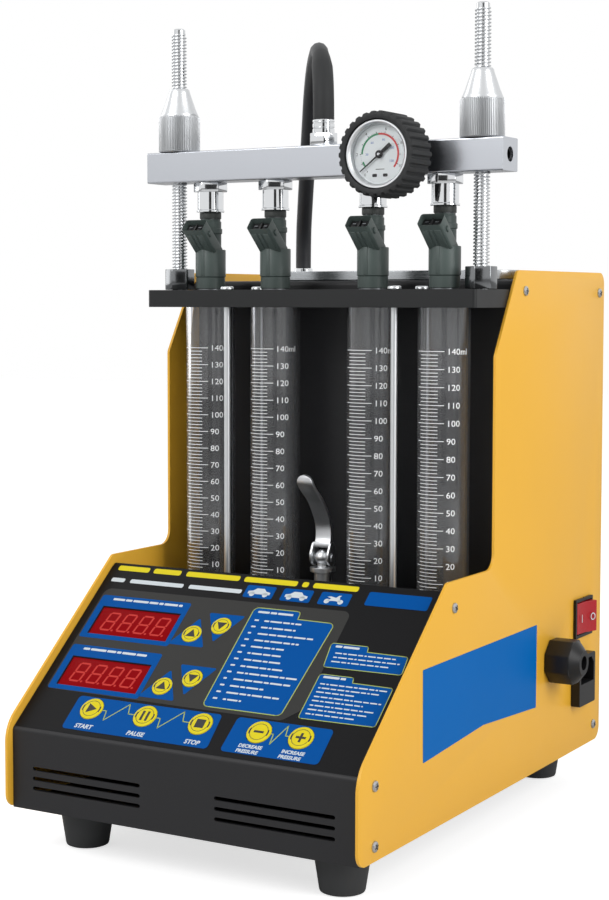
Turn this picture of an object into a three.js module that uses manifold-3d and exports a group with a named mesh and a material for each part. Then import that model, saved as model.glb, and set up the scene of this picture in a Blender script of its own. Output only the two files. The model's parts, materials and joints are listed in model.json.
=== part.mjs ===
// A bench machine that cleans fuel injectors in an ultrasonic bath and tests four of them at
// a time over measuring tubes. Millimetres, +Z up.
//
// The shapes are made in the casing's own frame: X runs across the machine with 0 on the
// casing's middle plane, Y runs back from the front edges of the side panels, and Z runs up
// from the floor that the feet stand on.

import * as THREE from 'three';
import { mergeVertices } from 'three/addons/utils/BufferGeometryUtils.js';
import Module from 'manifold-3d';

const wasm = await Module();
wasm.setup();

// Clearance between pieces that touch, and how far a cutting tool runs past what it cuts
const gap = 0.3;
const overrun = 2;

// Casing: two flat side panels, and folded sheets between them
const casingWidth = 280;
const casingDepth = 417;
const casingHeight = 408.5;
const sheet = 2;
const bend = 2;
const panelLip = 6;
const frontEdgeHeight = 90;
const crestDepth = 128;
const crestHeight = 195.5;
const shoulderDepth = 205;
const shoulderHeight = 347;
const roofDepth = 242.5;
const lowerCorner = 10;
const kneeCorner = 26;
const crestCorner = 6;
const innerCorner = 11;
const roofCorner = 9;

// Fascia: vented apron, sloping control panel, crest and the shelf behind it
const fasciaFoldHeight = 87.2;
const fasciaCrestDrop = 3.4;
const shelfHeight = 150;
const ventCentre = 75;
const ventLength = 91;
const ventWidth = 2.8;
const ventPitch = 7;
const ventLowestHeight = 46.6;

// Deck behind the tubes, with the bath let into it
const deckDrop = 6.8;
const deckFlange = 14;
const plateToWall = 4.25;
const wallFoot = 12;
const panFlange = 14;

// Ultrasonic bath
const tankSideMargin = 13;
const tankFrontMargin = 5;
const tankRearMargin = 60;
const tankWidth = 206;
const tankDepth = 96;
const tankWall = 1.5;
const tankCorner = 16;
const tankFloorCorner = 8;
const tankRimWidth = 5;
const tankRimHeight = 7;

// Transducer bonded under the bath
const transducerFootRadius = 19;
const transducerWaistRadius = 16;
const transducerHeadRadius = 24;
const transducerFootHeight = 16;
const transducerWaistHeight = 12;
const transducerHornHeight = 24;
const transducerHeadHeight = 5;

// Fluid pump that stands on the base pan
const pumpCentreX = -62;
const pumpRearMargin = 60;
const pumpRadius = 23;
const pumpLength = 92;
const pumpSaddleWidth = 50;
const pumpSaddleHeight = 14;
const pumpFlangeWidth = 66;
const pumpFlangeHeight = 4;
const pumpNeckRadius = 6;
const pumpNeckLength = 16;

// Feet
const footHeight = 31;
const footTopRadius = 20;
const footBottomRadius = 15.3;
const footEdge = 1.2;
const footHollowRadius = 5;
const footHollowDepth = 5;
const frontFootInset = 36.5;
const frontFootDepth = 47;
const rearFootInset = 43;
const rearFootMargin = 26;

// Measuring tubes, their base block and their top plate
const tubeLine = 205;
const innerTubeOffset = 41.5;
const outerTubeOffset = 99.5;
const tubeRadius = 19;
const tubeWall = 3;
const tubeLength = 223.6;
const socketDepth = 4;
const baseSideMargin = 13;
const baseDepth = 54;
const baseHeight = 15;
const baseCorner = 6;
const drainRadius = 3;
const topPlateDepth = 61.5;
const topPlateHeight = 13;
const topPlateCorner = 3;

// Tie rods that clamp the tubes between base and plate
const tieRodRadius = 2.5;
const tieRodHeadRadius = 5;
const tieRodHeadHeight = 3;
const tieRodHeadDome = 1;
const tieRodRow = 44.6;

// Drain valve with its lever
const valveSpigotRadius = 6;
const valveFlangeRadius = 9;
const valveFlangeHeight = 4;
const valveStemRadius = 6.5;
const valveCollarRadius = 9.6;
const valveCollarHeight = 3.5;
const valveNeckRadius = 4.2;
const valvePivotHeight = 28.7;
const valveBallRadius = 6;
const leverPinRadius = 2;
const leverPinHeadRadius = 3.2;
const leverPinHeadHeight = 1.2;
const leverCheek = 1.7;
const leverEyeRadius = 6.6;
const leverSlotHeight = 8.8;
const leverWidth = 13.2;
const leverThickness = 2.6;
const leverReach = 28;
const leverRise = 64.5;
const leverReachShares = [0, -0.06, -0.04, 0.12, 0.42, 0.78, 0.95, 1];
const leverRiseShares = [0.1, 0.23, 0.38, 0.52, 0.69, 0.82, 0.91, 1];

// Threaded posts, with a lock nut on the plate and a clamp nut on the rail
const postInset = 12;
const postRadius = 5.9;
const postLength = 213.7;
const postTip = 1;
const lockNutFlats = 20;
const lockNutHeight = 16;
const clampNutRadius = 16;
const clampNutGripHeight = 28.3;
const clampNutConeHeight = 20.5;
const clampNutTopRadius = 7.2;
const clampNutEdge = 1;

// Fuel rail
const railStandoff = 82.5;
const railOverhang = 9.5;
const railDepth = 26;
const railHeight = 23.5;
const railEdge = 1.2;
const railPortRadius = 5.4;
const railPortDepth = 12;
const railSocketDepth = 8;
const railSpigotRadius = 6;

// Adapters under the rail
const adapterFlats = 22.6;
const adapterNutHeight = 7.2;
const adapterLength = 22.7;
const adapterRadius = 10;
const adapterLipRadius = 10.7;
const adapterLipHeight = 1.8;
const adapterBoreRadius = 8.3;
const adapterBoreDepth = 8;

// Injectors
const injectorStandOff = 1;
const injectorFootRadius = 11.2;
const injectorFootHeight = 9;
const injectorSkirtRadius = 10.4;
const injectorSkirtReach = 6;
const injectorBodyRadius = 11.65;
const injectorBodyHeight = 21.1;
const injectorNeckRadius = 8.25;
const injectorSealRadius = 7.9;
const injectorSealHeight = 5;
const injectorNozzleRadius = 6.5;
const injectorNozzleLength = 3.5;
const injectorTipRadius = 4;
const injectorTipLength = 2.5;
const connectorWidth = 18.6;
const connectorThickness = 11;
const connectorReach = 31.5;
const connectorDrop = 3;
const connectorCorner = 2;
const connectorWall = 1.4;
const connectorDepth = 12;
const connectorTilt = THREE.MathUtils.degToRad(42);

// Pressure gauge on the front of the rail
const gaugeStandOff = 9;
const gaugeDepth = 32;
const bootRadius = 29.2;
const bootRibHeight = 0.9;
const bootRibs = 30;
const bootBackWall = 3;
const caseRadius = 24.2;
const bezelWidth = 3.2;
const dialRecess = 6;
const caseDepth = 25;
const stemRadius = 6.2;
const stemSpigotRadius = 5;
const spindleRadius = 1;
const spindleLength = 3.6;
const needleLength = 19;
const needleTail = 11;
const needleHubRadius = 2.8;
const needleWidth = 2.8;
const needleThickness = 0.8;
const needleLift = 1.2;
const needleRest = THREE.MathUtils.degToRad(218);

// Hose from the rail to the deck
const hoseRadius = 6.5;
const hoseNutFlats = 20;
const hoseNutHeight = 9;
const hoseFerruleRadius = 8.2;
const hoseFerruleHeight = 10;
const bulkheadSpigotRadius = 7;
const bulkheadSpigotLength = 10;
const bulkheadNutFlats = 19;
const bulkheadNutHeight = 6;
const bulkheadFerruleRadius = 8;
const bulkheadFerruleHeight = 6;

// The hose's own line, from the ferrule on the rail to the ferrule on the deck
const hoseRoute = [
  [0, 205.0, 520.1],
  [0, 205.0, 522.6],
  [-1.0, 206.5, 536.7],
  [-4.0, 211.1, 549.9],
  [-8.8, 218.3, 561.1],
  [-15.1, 227.7, 569.8],
  [-22.4, 238.6, 575.2],
  [-30.2, 250.4, 577.1],
  [-39.4, 264.3, 575.9],
  [-48.4, 277.8, 572.3],
  [-57.1, 290.8, 566.3],
  [-65.2, 303.0, 558.2],
  [-72.5, 314.0, 548.0],
  [-78.9, 323.7, 536.0],
  [-86.0, 334.3, 520.8],
  [-93.1, 345.0, 505.6],
  [-100.1, 355.6, 490.4],
  [-107.2, 366.2, 475.2],
  [-114.2, 376.8, 460.0],
  [-118.5, 383.2, 448.4],
  [-121.1, 387.2, 435.3],
  [-122.0, 388.5, 421.5],
  [-122.0, 388.5, 414.3],
];
const hoseSteps = 44;

// Controls on the sloping panel: along the slope from its lower fold, and across from the middle
const displayWidth = 68;
const displayHeight = 26;
const displaySideMargin = 14;
const displayPlaces = [104, 55.6];
const displayRecess = 0.6;
const boardThickness = 1.6;
const boardDepth = 9;
const boardMargin = 6;
const smallKeyRadius = 7.5;
const largeKeyRadius = 8.9;
const keyProud = 1;
const keyFlange = 1.5;
const keyFlangeThickness = 1.2;
const keyTravel = 0.8;
const switchRadius = 2.4;
const standoffRadius = 3;
const upKeyX = -38;
const downKeyX = -18;
const upKeyDrop = 3.8;
const downKeyRise = 6;
const mainKeyLine = 25;
const mainKeyFirstX = -83;
const mainKeyPitch = 44.9;
const pressureKeyFirstX = 52.8;
const pressureKeyPitch = 31.8;

// Rocker switch on the right side panel
const rockerRearMargin = 41;
const rockerZ = 136;
const bezelOutline = [36, 31];
const bezelProud = 2.5;
const bezelFrame = 2.4;
const bezelBodyInset = 2;
const bezelBodyDepth = 24;
const rockerWellDepth = 16;
const rockerHeight = 24.6;
const rockerHalfLength = 14.4;
const rockerEndRise = 5.2;
const rockerMiddleRise = 3.4;
const rockerSideDepth = 2;
const rockerKeelDepth = 8;
const rockerKeelHalfLength = 6;
const rockerPinRadius = 1.5;
const rockerTilt = THREE.MathUtils.degToRad(10.7);

// Mains inlet on the right side panel
const inletRearMargin = 45.8;
const inletZ = 87.5;
const inletWidth = 33.5;
const inletHeight = 40;
const inletProud = 7.5;
const inletEdge = 1.5;
const inletBodyInset = 2.5;
const inletBodyDepth = 18;
const socketWidth = 27;
const socketHeight = 19.5;
const socketTopMargin = 3.2;
const socketCorner = 5;
const socketReach = 19;
const inletPinWidth = 4;
const inletPinThickness = 2;
const inletPinLength = 11;
const inletPinSpacing = 7;
const inletPinOffset = 2;

// Signal cable gland on the right side panel
const glandRearMargin = 101.5;
const glandZ = 111.5;
const glandFlats = 33;
const glandBodyLength = 20;
const glandNoseLength = 6;
const glandNoseRadius = 10;
const glandBoreRadius = 5.5;
const glandSpigotRadius = 11;
const glandSpigotLength = 14;

// How finely round shapes are faceted
const filletSteps = 3;
const fineSides = 28;
const roundSides = 20;
const smallSides = 12;
const tinySides = 8;
const hoseSides = 8;

// Sizes that follow from those above
const panelInner = casingWidth / 2 - sheet;
const fasciaWidth = 2 * (panelInner - gap);
const slopeAngle = Math.atan2(crestHeight - frontEdgeHeight, crestDepth);
const fasciaCrestHeight = crestHeight - fasciaCrestDrop;
const fasciaCrestDepth = panelLip + (fasciaCrestHeight - fasciaFoldHeight) / Math.tan(slopeAngle);
const housingFront = tubeLine + topPlateDepth / 2 + plateToWall;
const rearFace = casingDepth - panelLip;
const rockerY = casingDepth - rockerRearMargin;
const inletY = casingDepth - inletRearMargin;
const glandY = casingDepth - glandRearMargin;
const displayCentreX = displaySideMargin + displayWidth / 2 - panelInner;
const deckTop = casingHeight - deckDrop;
const baseBottom = shelfHeight + gap;
const baseTop = baseBottom + baseHeight;
const baseWidth = 2 * (panelInner - baseSideMargin);
const tubeBottom = baseTop - socketDepth + gap;
const tubeTop = tubeBottom + tubeLength;
const topPlateBottom = tubeTop + gap - socketDepth;
const topPlateTop = topPlateBottom + topPlateHeight;
const tieRodOffset = (innerTubeOffset + outerTubeOffset) / 2;
const postOffset = casingWidth / 2 - postInset;
const railLength = casingWidth + 2 * railOverhang;
const railBottom = topPlateTop + railStandoff;
const railTop = railBottom + railHeight;
const railCentre = railBottom + railHeight / 2;
const railFront = tubeLine - railDepth / 2;
const adapterTop = railBottom - gap;
const adapterBottom = adapterTop - adapterLength;
const valvePivot = baseTop + valvePivotHeight;
const tankFront = housingFront + tankFrontMargin + tankRimWidth;
const tankLength = rearFace - tankRearMargin - tankRimWidth - tankFront;
const tankCentreX = panelInner - tankSideMargin - tankWidth / 2;
const tankCentreY = tankFront + tankLength / 2;
const bathCorner = Math.min(tankCorner, tankLength / 2 - gap);
const bathFloorCorner = Math.min(tankFloorCorner, bathCorner);
const pumpCentreY = rearFace - pumpRearMargin - pumpFlangeWidth / 2;
const tubeOffsets = [-outerTubeOffset, -innerTubeOffset, innerTubeOffset, outerTubeOffset];
const hoseEnd = hoseRoute[hoseRoute.length - 1];

// Joining and cutting

// The same shape with its shared corners merged and its folded triangles left out.
function welded(geometry) {
  const bare = geometry.clone();
  bare.deleteAttribute('normal');
  bare.deleteAttribute('uv');
  const merged = mergeVertices(bare);
  const corners = [];
  for (let i = 0; i < merged.index.count; i += 3) {
    const triangle = [0, 1, 2].map((k) => merged.index.getX(i + k));
    if (new Set(triangle).size === 3) {
      corners.push(...triangle);
    }
  }
  merged.setIndex(corners);
  return merged;
}

function solidOf(geometry) {
  const shape = welded(geometry);
  return new wasm.Manifold(new wasm.Mesh({
    numProp: 3,
    vertProperties: Float32Array.from(shape.attributes.position.array),
    triVerts: Uint32Array.from(shape.index.array),
  }));
}

function geometryOf(solid) {
  const mesh = solid.getMesh();
  const geometry = new THREE.BufferGeometry();
  geometry.setAttribute('position', new THREE.BufferAttribute(mesh.vertProperties, 3));
  geometry.setIndex(new THREE.BufferAttribute(mesh.triVerts, 1));
  geometry.computeVertexNormals();
  return geometry;
}

function joined(...shapes) {
  return geometryOf(shapes.map(solidOf).reduce((whole, shape) => whole.add(shape)));
}

function cut(shape, ...tools) {
  return geometryOf(tools.map(solidOf).reduce((left, tool) => left.subtract(tool), solidOf(shape)));
}

function common(shape, other) {
  return geometryOf(solidOf(shape).intersect(solidOf(other)));
}

// Outlines

// Corners are [across, up, radius]; a corner with a radius becomes an arc.
function rounded(corners) {
  const outline = [];
  corners.forEach(([across, up, radius = 0], i) => {
    const here = new THREE.Vector2(across, up);
    if (radius === 0) {
      outline.push(here);
      return;
    }
    const before = new THREE.Vector2(...corners.at(i - 1).slice(0, 2)).sub(here).normalize();
    const after = new THREE.Vector2(...corners[(i + 1) % corners.length].slice(0, 2)).sub(here).normalize();
    const half = Math.acos(THREE.MathUtils.clamp(before.dot(after), -1, 1)) / 2;
    const centre = before.clone().add(after).normalize().multiplyScalar(radius / Math.sin(half)).add(here);
    const from = before.multiplyScalar(radius / Math.tan(half)).add(here).sub(centre).angle();
    const to = after.multiplyScalar(radius / Math.tan(half)).add(here).sub(centre).angle();
    const turn = Math.atan2(Math.sin(to - from), Math.cos(to - from));
    for (let step = 0; step <= filletSteps; step += 1) {
      const angle = from + turn * step / filletSteps;
      outline.push(new THREE.Vector2(Math.cos(angle), Math.sin(angle)).multiplyScalar(radius).add(centre));
    }
  });
  return outline;
}

function roundedRectangle(width, height, radius) {
  const [w, h] = [width / 2, height / 2];
  return rounded([[-w, -h, radius], [w, -h, radius], [w, h, radius], [-w, h, radius]]);
}

function polygon(radius, sides, turn = 0) {
  const outline = [];
  for (let i = 0; i < sides; i += 1) {
    const angle = turn + 2 * Math.PI * i / sides;
    outline.push(new THREE.Vector2(Math.cos(angle), Math.sin(angle)).multiplyScalar(radius));
  }
  return outline;
}

// A regular outline of a given size across its flats, with flats facing along Y.
function acrossFlats(flats, sides) {
  return polygon(flats / 2 / Math.cos(Math.PI / sides), sides, Math.PI / sides + Math.PI / 2);
}

// A slot with round ends, along X.
function slotOutline(length, width) {
  const radius = width / 2;
  const reach = length / 2 - radius;
  const outline = [];
  [1, -1].forEach((side) => {
    for (let step = 0; step <= filletSteps; step += 1) {
      const angle = side * Math.PI / 2 * (2 * step / filletSteps - 1) * side + (side < 0 ? Math.PI : 0);
      outline.push(new THREE.Vector2(side * reach + radius * Math.cos(angle), radius * Math.sin(angle)));
    }
  });
  return outline;
}

// The outline of a sheet folded along open corners [back, up]. The sheet's thickness lies to the
// right of the line when side is 1, and to its left when side is -1.
function folded(corners, side) {
  const points = corners.map((corner) => new THREE.Vector2(...corner));
  const along = points.slice(1).map((point, i) => point.clone().sub(points[i]).normalize());
  const across = along.map((direction) => new THREE.Vector2(direction.y, -direction.x).multiplyScalar(side));
  const near = [];
  const far = [];
  points.forEach((point, i) => {
    const before = across[Math.max(i - 1, 0)];
    const after = across[Math.min(i, across.length - 1)];
    const shift = before.clone().add(after).multiplyScalar(sheet / (1 + before.dot(after)));
    const isFold = i > 0 && i < points.length - 1;
    const opens = isFold && along[i - 1].dot(after) > 0;
    const inside = isFold ? bend : 0;
    const outside = isFold ? bend + sheet : 0;
    near.push([point.x, point.y, opens ? inside : outside]);
    far.push([point.x + shift.x, point.y + shift.y, opens ? outside : inside]);
  });
  return rounded([...near, ...far.reverse()]);
}

// Solids

// An outline in X and Y, raised along Z from 0.
function raised(outline, height) {
  return new THREE.ExtrudeGeometry(new THREE.Shape(outline), { depth: height, bevelEnabled: false });
}

const towardsX = new THREE.Matrix4().makeBasis(
  new THREE.Vector3(0, 1, 0),
  new THREE.Vector3(0, 0, 1),
  new THREE.Vector3(1, 0, 0),
);
const towardsFront = new THREE.Matrix4().makeBasis(
  new THREE.Vector3(1, 0, 0),
  new THREE.Vector3(0, 0, 1),
  new THREE.Vector3(0, -1, 0),
);

// An outline in Y and Z, drawn out along X about X = 0.
function drawnAcross(outline, width) {
  return raised(outline, width).translate(0, 0, -width / 2).applyMatrix4(towardsX);
}

// A profile of [radius, height] points from the bottom up, turned about Z.
function turned(profile, sides) {
  const points = profile.map(([radius, height]) => new THREE.Vector2(radius, height));
  return new THREE.LatheGeometry(points, sides).rotateX(Math.PI / 2);
}

function rod(radius, from, to, sides) {
  return turned([[0, from], [radius, from], [radius, to], [0, to]], sides);
}

function box(width, depth, height) {
  return new THREE.BoxGeometry(width, depth, height);
}

// A block with rounded upright edges and a rounded floor, open or flat at the top.
function basin(width, length, corner, height, floorCorner) {
  const [w, l] = [width - 2 * floorCorner, length - 2 * floorCorner];
  const outline = roundedRectangle(w, l, corner - floorCorner);
  const block = new THREE.ExtrudeGeometry(new THREE.Shape(outline), {
    depth: height,
    bevelThickness: floorCorner,
    bevelSize: floorCorner,
    bevelSegments: filletSteps,
    curveSegments: filletSteps,
  });
  const keep = box(2 * width, 2 * length, height).translate(0, 0, height / 2);
  return common(block.translate(0, 0, floorCorner), keep);
}

// The model

const model = new THREE.Group();
const slope = new THREE.Group();
slope.position.set(0, panelLip, fasciaFoldHeight);
slope.rotation.x = slopeAngle;
model.add(slope);

function finish(color, roughness, metalness) {
  return new THREE.MeshStandardMaterial({ color, roughness, metalness });
}

const goldPaint = finish('#e8b54a', 0.45, 0.1);
const blackPaint = finish('#2b2b2d', 0.5, 0.1);
const blackPlate = finish('#333435', 0.45, 0.3);
const rubber = finish('#2c2d2e', 0.85, 0);
const blackPlastic = finish('#242526', 0.5, 0);
const redPlastic = finish('#c81e28', 0.35, 0);
const keyYellow = finish('#f2e32c', 0.5, 0);
const displayRed = finish('#a01018', 0.3, 0);
const stainless = finish('#c9ccd0', 0.3, 0.9);
const chrome = finish('#dcdfe2', 0.15, 1);
const brushedRail = finish('#c3c6cb', 0.35, 0.8);
const clearTube = finish('#8d9290', 0.1, 0);
clearTube.transparent = true;
clearTube.opacity = 0.35;
const injectorGrey = finish('#4b5452', 0.55, 0);
const dialWhite = finish('#e9ecec', 0.4, 0.2);
const needleBlack = finish('#161616', 0.5, 0);
const hoseBlack = finish('#2a2b2c', 0.7, 0);

function addPart(name, geometry, material, parent = model) {
  const mesh = new THREE.Mesh(welded(geometry), material);
  mesh.name = name;
  parent.add(mesh);
  return mesh;
}

// Side panels

const panelOutline = rounded([
  [0, footHeight, lowerCorner],
  [0, frontEdgeHeight, kneeCorner],
  [crestDepth, crestHeight, crestCorner],
  [shoulderDepth, crestHeight, innerCorner],
  [shoulderDepth, shoulderHeight, crestCorner],
  [roofDepth, casingHeight, crestCorner],
  [casingDepth, casingHeight, roofCorner],
  [casingDepth, footHeight, lowerCorner],
].reverse());

const bezelBody = bezelOutline.map((size) => size - 2 * bezelBodyInset);
const inletBody = [inletWidth - 2 * inletBodyInset, inletHeight - 2 * inletBodyInset];

function sidePanel(centreX) {
  return drawnAcross(panelOutline, sheet).translate(centreX, 0, 0);
}

const panelCentre = casingWidth / 2 - sheet / 2;
const cutThickness = sheet + 2 * overrun;
addPart('left_side_panel', sidePanel(-panelCentre), goldPaint);
addPart('right_side_panel', cut(
  sidePanel(panelCentre),
  box(cutThickness, bezelBody[0] + 2 * gap, bezelBody[1] + 2 * gap).translate(panelCentre, rockerY, rockerZ),
  box(cutThickness, inletBody[0] + 2 * gap, inletBody[1] + 2 * gap).translate(panelCentre, inletY, inletZ),
  drawnAcross(polygon(glandSpigotRadius + gap, roundSides), cutThickness).translate(panelCentre, glandY, glandZ),
), goldPaint);

// Keys, given as [name, across, up the slope, radius]

const [upperDisplay, lowerDisplay] = displayPlaces;
const keys = [
  ['upper_up_key', upKeyX, upperDisplay - upKeyDrop, smallKeyRadius],
  ['upper_down_key', downKeyX, upperDisplay + downKeyRise, smallKeyRadius],
  ['lower_up_key', upKeyX, lowerDisplay - upKeyDrop, smallKeyRadius],
  ['lower_down_key', downKeyX, lowerDisplay + downKeyRise, smallKeyRadius],
  ['start_key', mainKeyFirstX, mainKeyLine, largeKeyRadius],
  ['pause_key', mainKeyFirstX + mainKeyPitch, mainKeyLine, largeKeyRadius],
  ['stop_key', mainKeyFirstX + 2 * mainKeyPitch, mainKeyLine, largeKeyRadius],
  ['pressure_down_key', pressureKeyFirstX, mainKeyLine, largeKeyRadius],
  ['pressure_up_key', pressureKeyFirstX + pressureKeyPitch, mainKeyLine, largeKeyRadius],
];
const keyTopOfFlange = -(sheet + gap);
const keyBottom = keyTopOfFlange - keyFlangeThickness;

keys.forEach(([name, across, up, radius]) => {
  const key = addPart(name, turned([
    [0, keyBottom],
    [radius + keyFlange, keyBottom],
    [radius + keyFlange, keyTopOfFlange],
    [radius, keyTopOfFlange],
    [radius, keyProud / 2],
    [radius - keyProud / 2, keyProud],
    [0, keyProud],
  ], roundSides), keyYellow, slope);
  key.position.set(across, up, 0);
});

// Fascia

const slopePlace = new THREE.Matrix4()
  .makeRotationX(slopeAngle)
  .setPosition(0, panelLip, fasciaFoldHeight);

const fasciaOutline = folded([
  [panelLip, footHeight],
  [panelLip, fasciaFoldHeight],
  [fasciaCrestDepth, fasciaCrestHeight],
  [fasciaCrestDepth, shelfHeight],
  [housingFront - gap, shelfHeight],
], 1);

function ventTools(face) {
  const tools = [];
  [-ventCentre, ventCentre].forEach((across) => {
    for (let row = 0; row < 3; row += 1) {
      tools.push(raised(slotOutline(ventLength, ventWidth), cutThickness)
        .translate(0, 0, -cutThickness / 2)
        .applyMatrix4(towardsFront)
        .translate(across, face, ventLowestHeight + row * ventPitch));
    }
  });
  return tools;
}

const panelTools = [
  ...keys.map(([, across, up, radius]) => (
    rod(radius + gap, -sheet - overrun, overrun, roundSides).translate(across, up, 0))),
  ...displayPlaces.map((up) => (
    box(displayWidth, displayHeight, cutThickness).translate(displayCentreX, up, -sheet / 2))),
].map((tool) => tool.applyMatrix4(slopePlace));

addPart('front_fascia', cut(
  drawnAcross(fasciaOutline, fasciaWidth),
  ...ventTools(panelLip + sheet / 2),
  ...panelTools,
), blackPaint);

// Display board: the board, its two display modules, its key switches and its standoffs

const boardTop = boardThickness - boardDepth;
const boardEnds = [
  displayCentreX - displayWidth / 2,
  pressureKeyFirstX + pressureKeyPitch + largeKeyRadius + boardMargin,
];
const boardRows = [mainKeyLine - largeKeyRadius, upperDisplay + displayHeight / 2 + boardMargin];
const boardSize = [boardEnds[1] - boardEnds[0], boardRows[1] - boardRows[0]];
const boardCentre = [(boardEnds[0] + boardEnds[1]) / 2, (boardRows[0] + boardRows[1]) / 2];
const standoffPlaces = [-1, 1].flatMap((x) => [-1, 1].map((y) => [
  boardCentre[0] + x * (boardSize[0] / 2 - standoffRadius),
  boardCentre[1] + y * (boardSize[1] / 2 - standoffRadius),
]));
const moduleHeight = boardDepth - boardThickness / 2 - displayRecess;
const switchTop = keyBottom - keyTravel - gap;

addPart('display_board', joined(
  box(...boardSize, boardThickness).translate(...boardCentre, boardTop - boardThickness / 2),
  ...displayPlaces.map((up) => box(displayWidth - 2 * gap, displayHeight - 2 * gap, moduleHeight)
    .translate(displayCentreX, up, -displayRecess - moduleHeight / 2)),
  ...keys.map(([, across, up]) => (
    rod(switchRadius, boardTop - boardThickness / 2, switchTop, tinySides).translate(across, up, 0))),
  ...standoffPlaces.map(([across, up]) => (
    rod(standoffRadius, boardTop - boardThickness / 2, -sheet - gap, tinySides).translate(across, up, 0))),
), displayRed, slope);

// Base pan, rear panel and the housing behind the tubes

addPart('base_pan', drawnAcross(folded([
  [panelLip + sheet + gap, footHeight + panFlange],
  [panelLip + sheet + gap, footHeight],
  [rearFace - sheet - gap, footHeight],
  [rearFace - sheet - gap, footHeight + panFlange],
], -1), fasciaWidth), blackPaint);

const rearHeight = deckTop - footHeight;
addPart('rear_panel', cut(
  box(fasciaWidth, sheet, rearHeight).translate(0, rearFace - sheet / 2, footHeight + rearHeight / 2),
  ...ventTools(rearFace - sheet / 2),
), blackPaint);

const tankOpening = raised(
  roundedRectangle(tankWidth + 2 * gap, tankLength + 2 * gap, bathCorner + gap),
  deckDrop + 2 * overrun,
).translate(tankCentreX, tankCentreY, deckTop - deckDrop);

addPart('upper_housing', cut(
  drawnAcross(folded([
    [housingFront, shelfHeight - wallFoot],
    [housingFront, deckTop],
    [rearFace - sheet - gap, deckTop],
    [rearFace - sheet - gap, deckTop - deckFlange],
  ], 1), fasciaWidth),
  tankOpening,
  rod(bulkheadSpigotRadius + gap, deckTop - sheet - overrun, deckTop + overrun, smallSides)
    .translate(hoseEnd[0], hoseEnd[1], 0),
), blackPaint);

// Ultrasonic bath and its transducer

const tankRimBottom = deckTop + gap;
const tankRimTop = tankRimBottom + tankRimHeight;
const tankFloor = tankRimTop - tankDepth;
const rimOutline = roundedRectangle(
  tankWidth + 2 * tankRimWidth,
  tankLength + 2 * tankRimWidth,
  bathCorner + tankRimWidth,
);
const tankCavity = basin(
  tankWidth - 2 * tankWall,
  tankLength - 2 * tankWall,
  bathCorner - tankWall,
  tankDepth + overrun,
  bathFloorCorner - tankWall,
);

addPart('ultrasonic_tank', cut(
  joined(
    raised(rimOutline, tankRimHeight).translate(0, 0, tankRimBottom),
    basin(tankWidth, tankLength, bathCorner, tankDepth + tankWall, bathFloorCorner)
      .translate(0, 0, tankFloor - tankWall),
  ),
  tankCavity.translate(0, 0, tankFloor),
).translate(tankCentreX, tankCentreY, 0), stainless);

const transducerLevels = [
  transducerFootHeight,
  transducerFootHeight + transducerWaistHeight,
  transducerFootHeight + transducerWaistHeight + transducerHornHeight,
  transducerFootHeight + transducerWaistHeight + transducerHornHeight + transducerHeadHeight,
];
addPart('ultrasonic_transducer', turned([
  [0, 0],
  [transducerFootRadius, 0],
  [transducerFootRadius, transducerLevels[0]],
  [transducerWaistRadius, transducerLevels[0]],
  [transducerWaistRadius, transducerLevels[1]],
  [transducerHeadRadius, transducerLevels[2]],
  [transducerHeadRadius, transducerLevels[3]],
  [0, transducerLevels[3]],
], roundSides).translate(
  tankCentreX,
  tankCentreY,
  tankFloor - tankWall - gap - transducerLevels[3],
), stainless);

// Fluid pump on its saddle

const pumpAxis = pumpFlangeHeight + pumpSaddleHeight / 2 + pumpRadius;
addPart('fluid_pump', joined(
  drawnAcross(polygon(pumpRadius, roundSides), pumpLength).translate(0, 0, pumpAxis),
  drawnAcross(polygon(pumpNeckRadius, smallSides), pumpLength + 2 * pumpNeckLength).translate(0, 0, pumpAxis),
  box(pumpLength / 2, pumpSaddleWidth, pumpAxis).translate(0, 0, pumpAxis / 2),
  box(pumpLength / 2, pumpFlangeWidth, pumpFlangeHeight).translate(0, 0, pumpFlangeHeight / 2),
).translate(pumpCentreX, pumpCentreY, footHeight + sheet + gap), blackPlastic);

// Feet

const footRows = [
  ['front', frontFootInset, frontFootDepth],
  ['rear', rearFootInset, casingDepth - rearFootMargin],
];
const footColumns = [['left', -1], ['right', 1]];
footRows.forEach(([row, inset, depth]) => {
  footColumns.forEach(([column, side]) => {
    addPart(`${row}_${column}_foot`, turned([
      [0, footHollowDepth],
      [footHollowRadius, footHollowDepth],
      [footHollowRadius, 0],
      [footBottomRadius - footEdge, 0],
      [footBottomRadius, footEdge],
      [footTopRadius, footHeight - gap],
      [0, footHeight - gap],
    ], roundSides).translate(side * (casingWidth / 2 - inset), depth, 0), rubber);
  });
});

// Base block that the tubes stand in

const tieRodRows = [tubeLine - tieRodRow / 2, tubeLine + tieRodRow / 2];
const tieRodSpots = [-tieRodOffset, tieRodOffset].flatMap((x) => tieRodRows.map((y) => [x, y]));

addPart('tube_base', cut(
  raised(roundedRectangle(baseWidth, baseDepth, baseCorner), baseHeight).translate(0, tubeLine, baseBottom),
  ...tubeOffsets.map((x) => rod(tubeRadius + gap, baseTop - socketDepth, baseTop + overrun, fineSides)
    .translate(x, tubeLine, 0)),
  ...tubeOffsets.map((x) => rod(drainRadius, baseBottom - overrun, baseTop, tinySides)
    .translate(x, tubeLine, 0)),
  ...tieRodSpots.map(([x, y]) => rod(tieRodRadius + gap, baseTop - 2 * socketDepth, baseTop + overrun, tinySides)
    .translate(x, y, 0)),
  rod(valveSpigotRadius + gap, baseTop - 2 * socketDepth, baseTop + overrun, smallSides)
    .translate(0, tubeLine, 0),
), blackPlate);

// Measuring tubes

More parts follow.
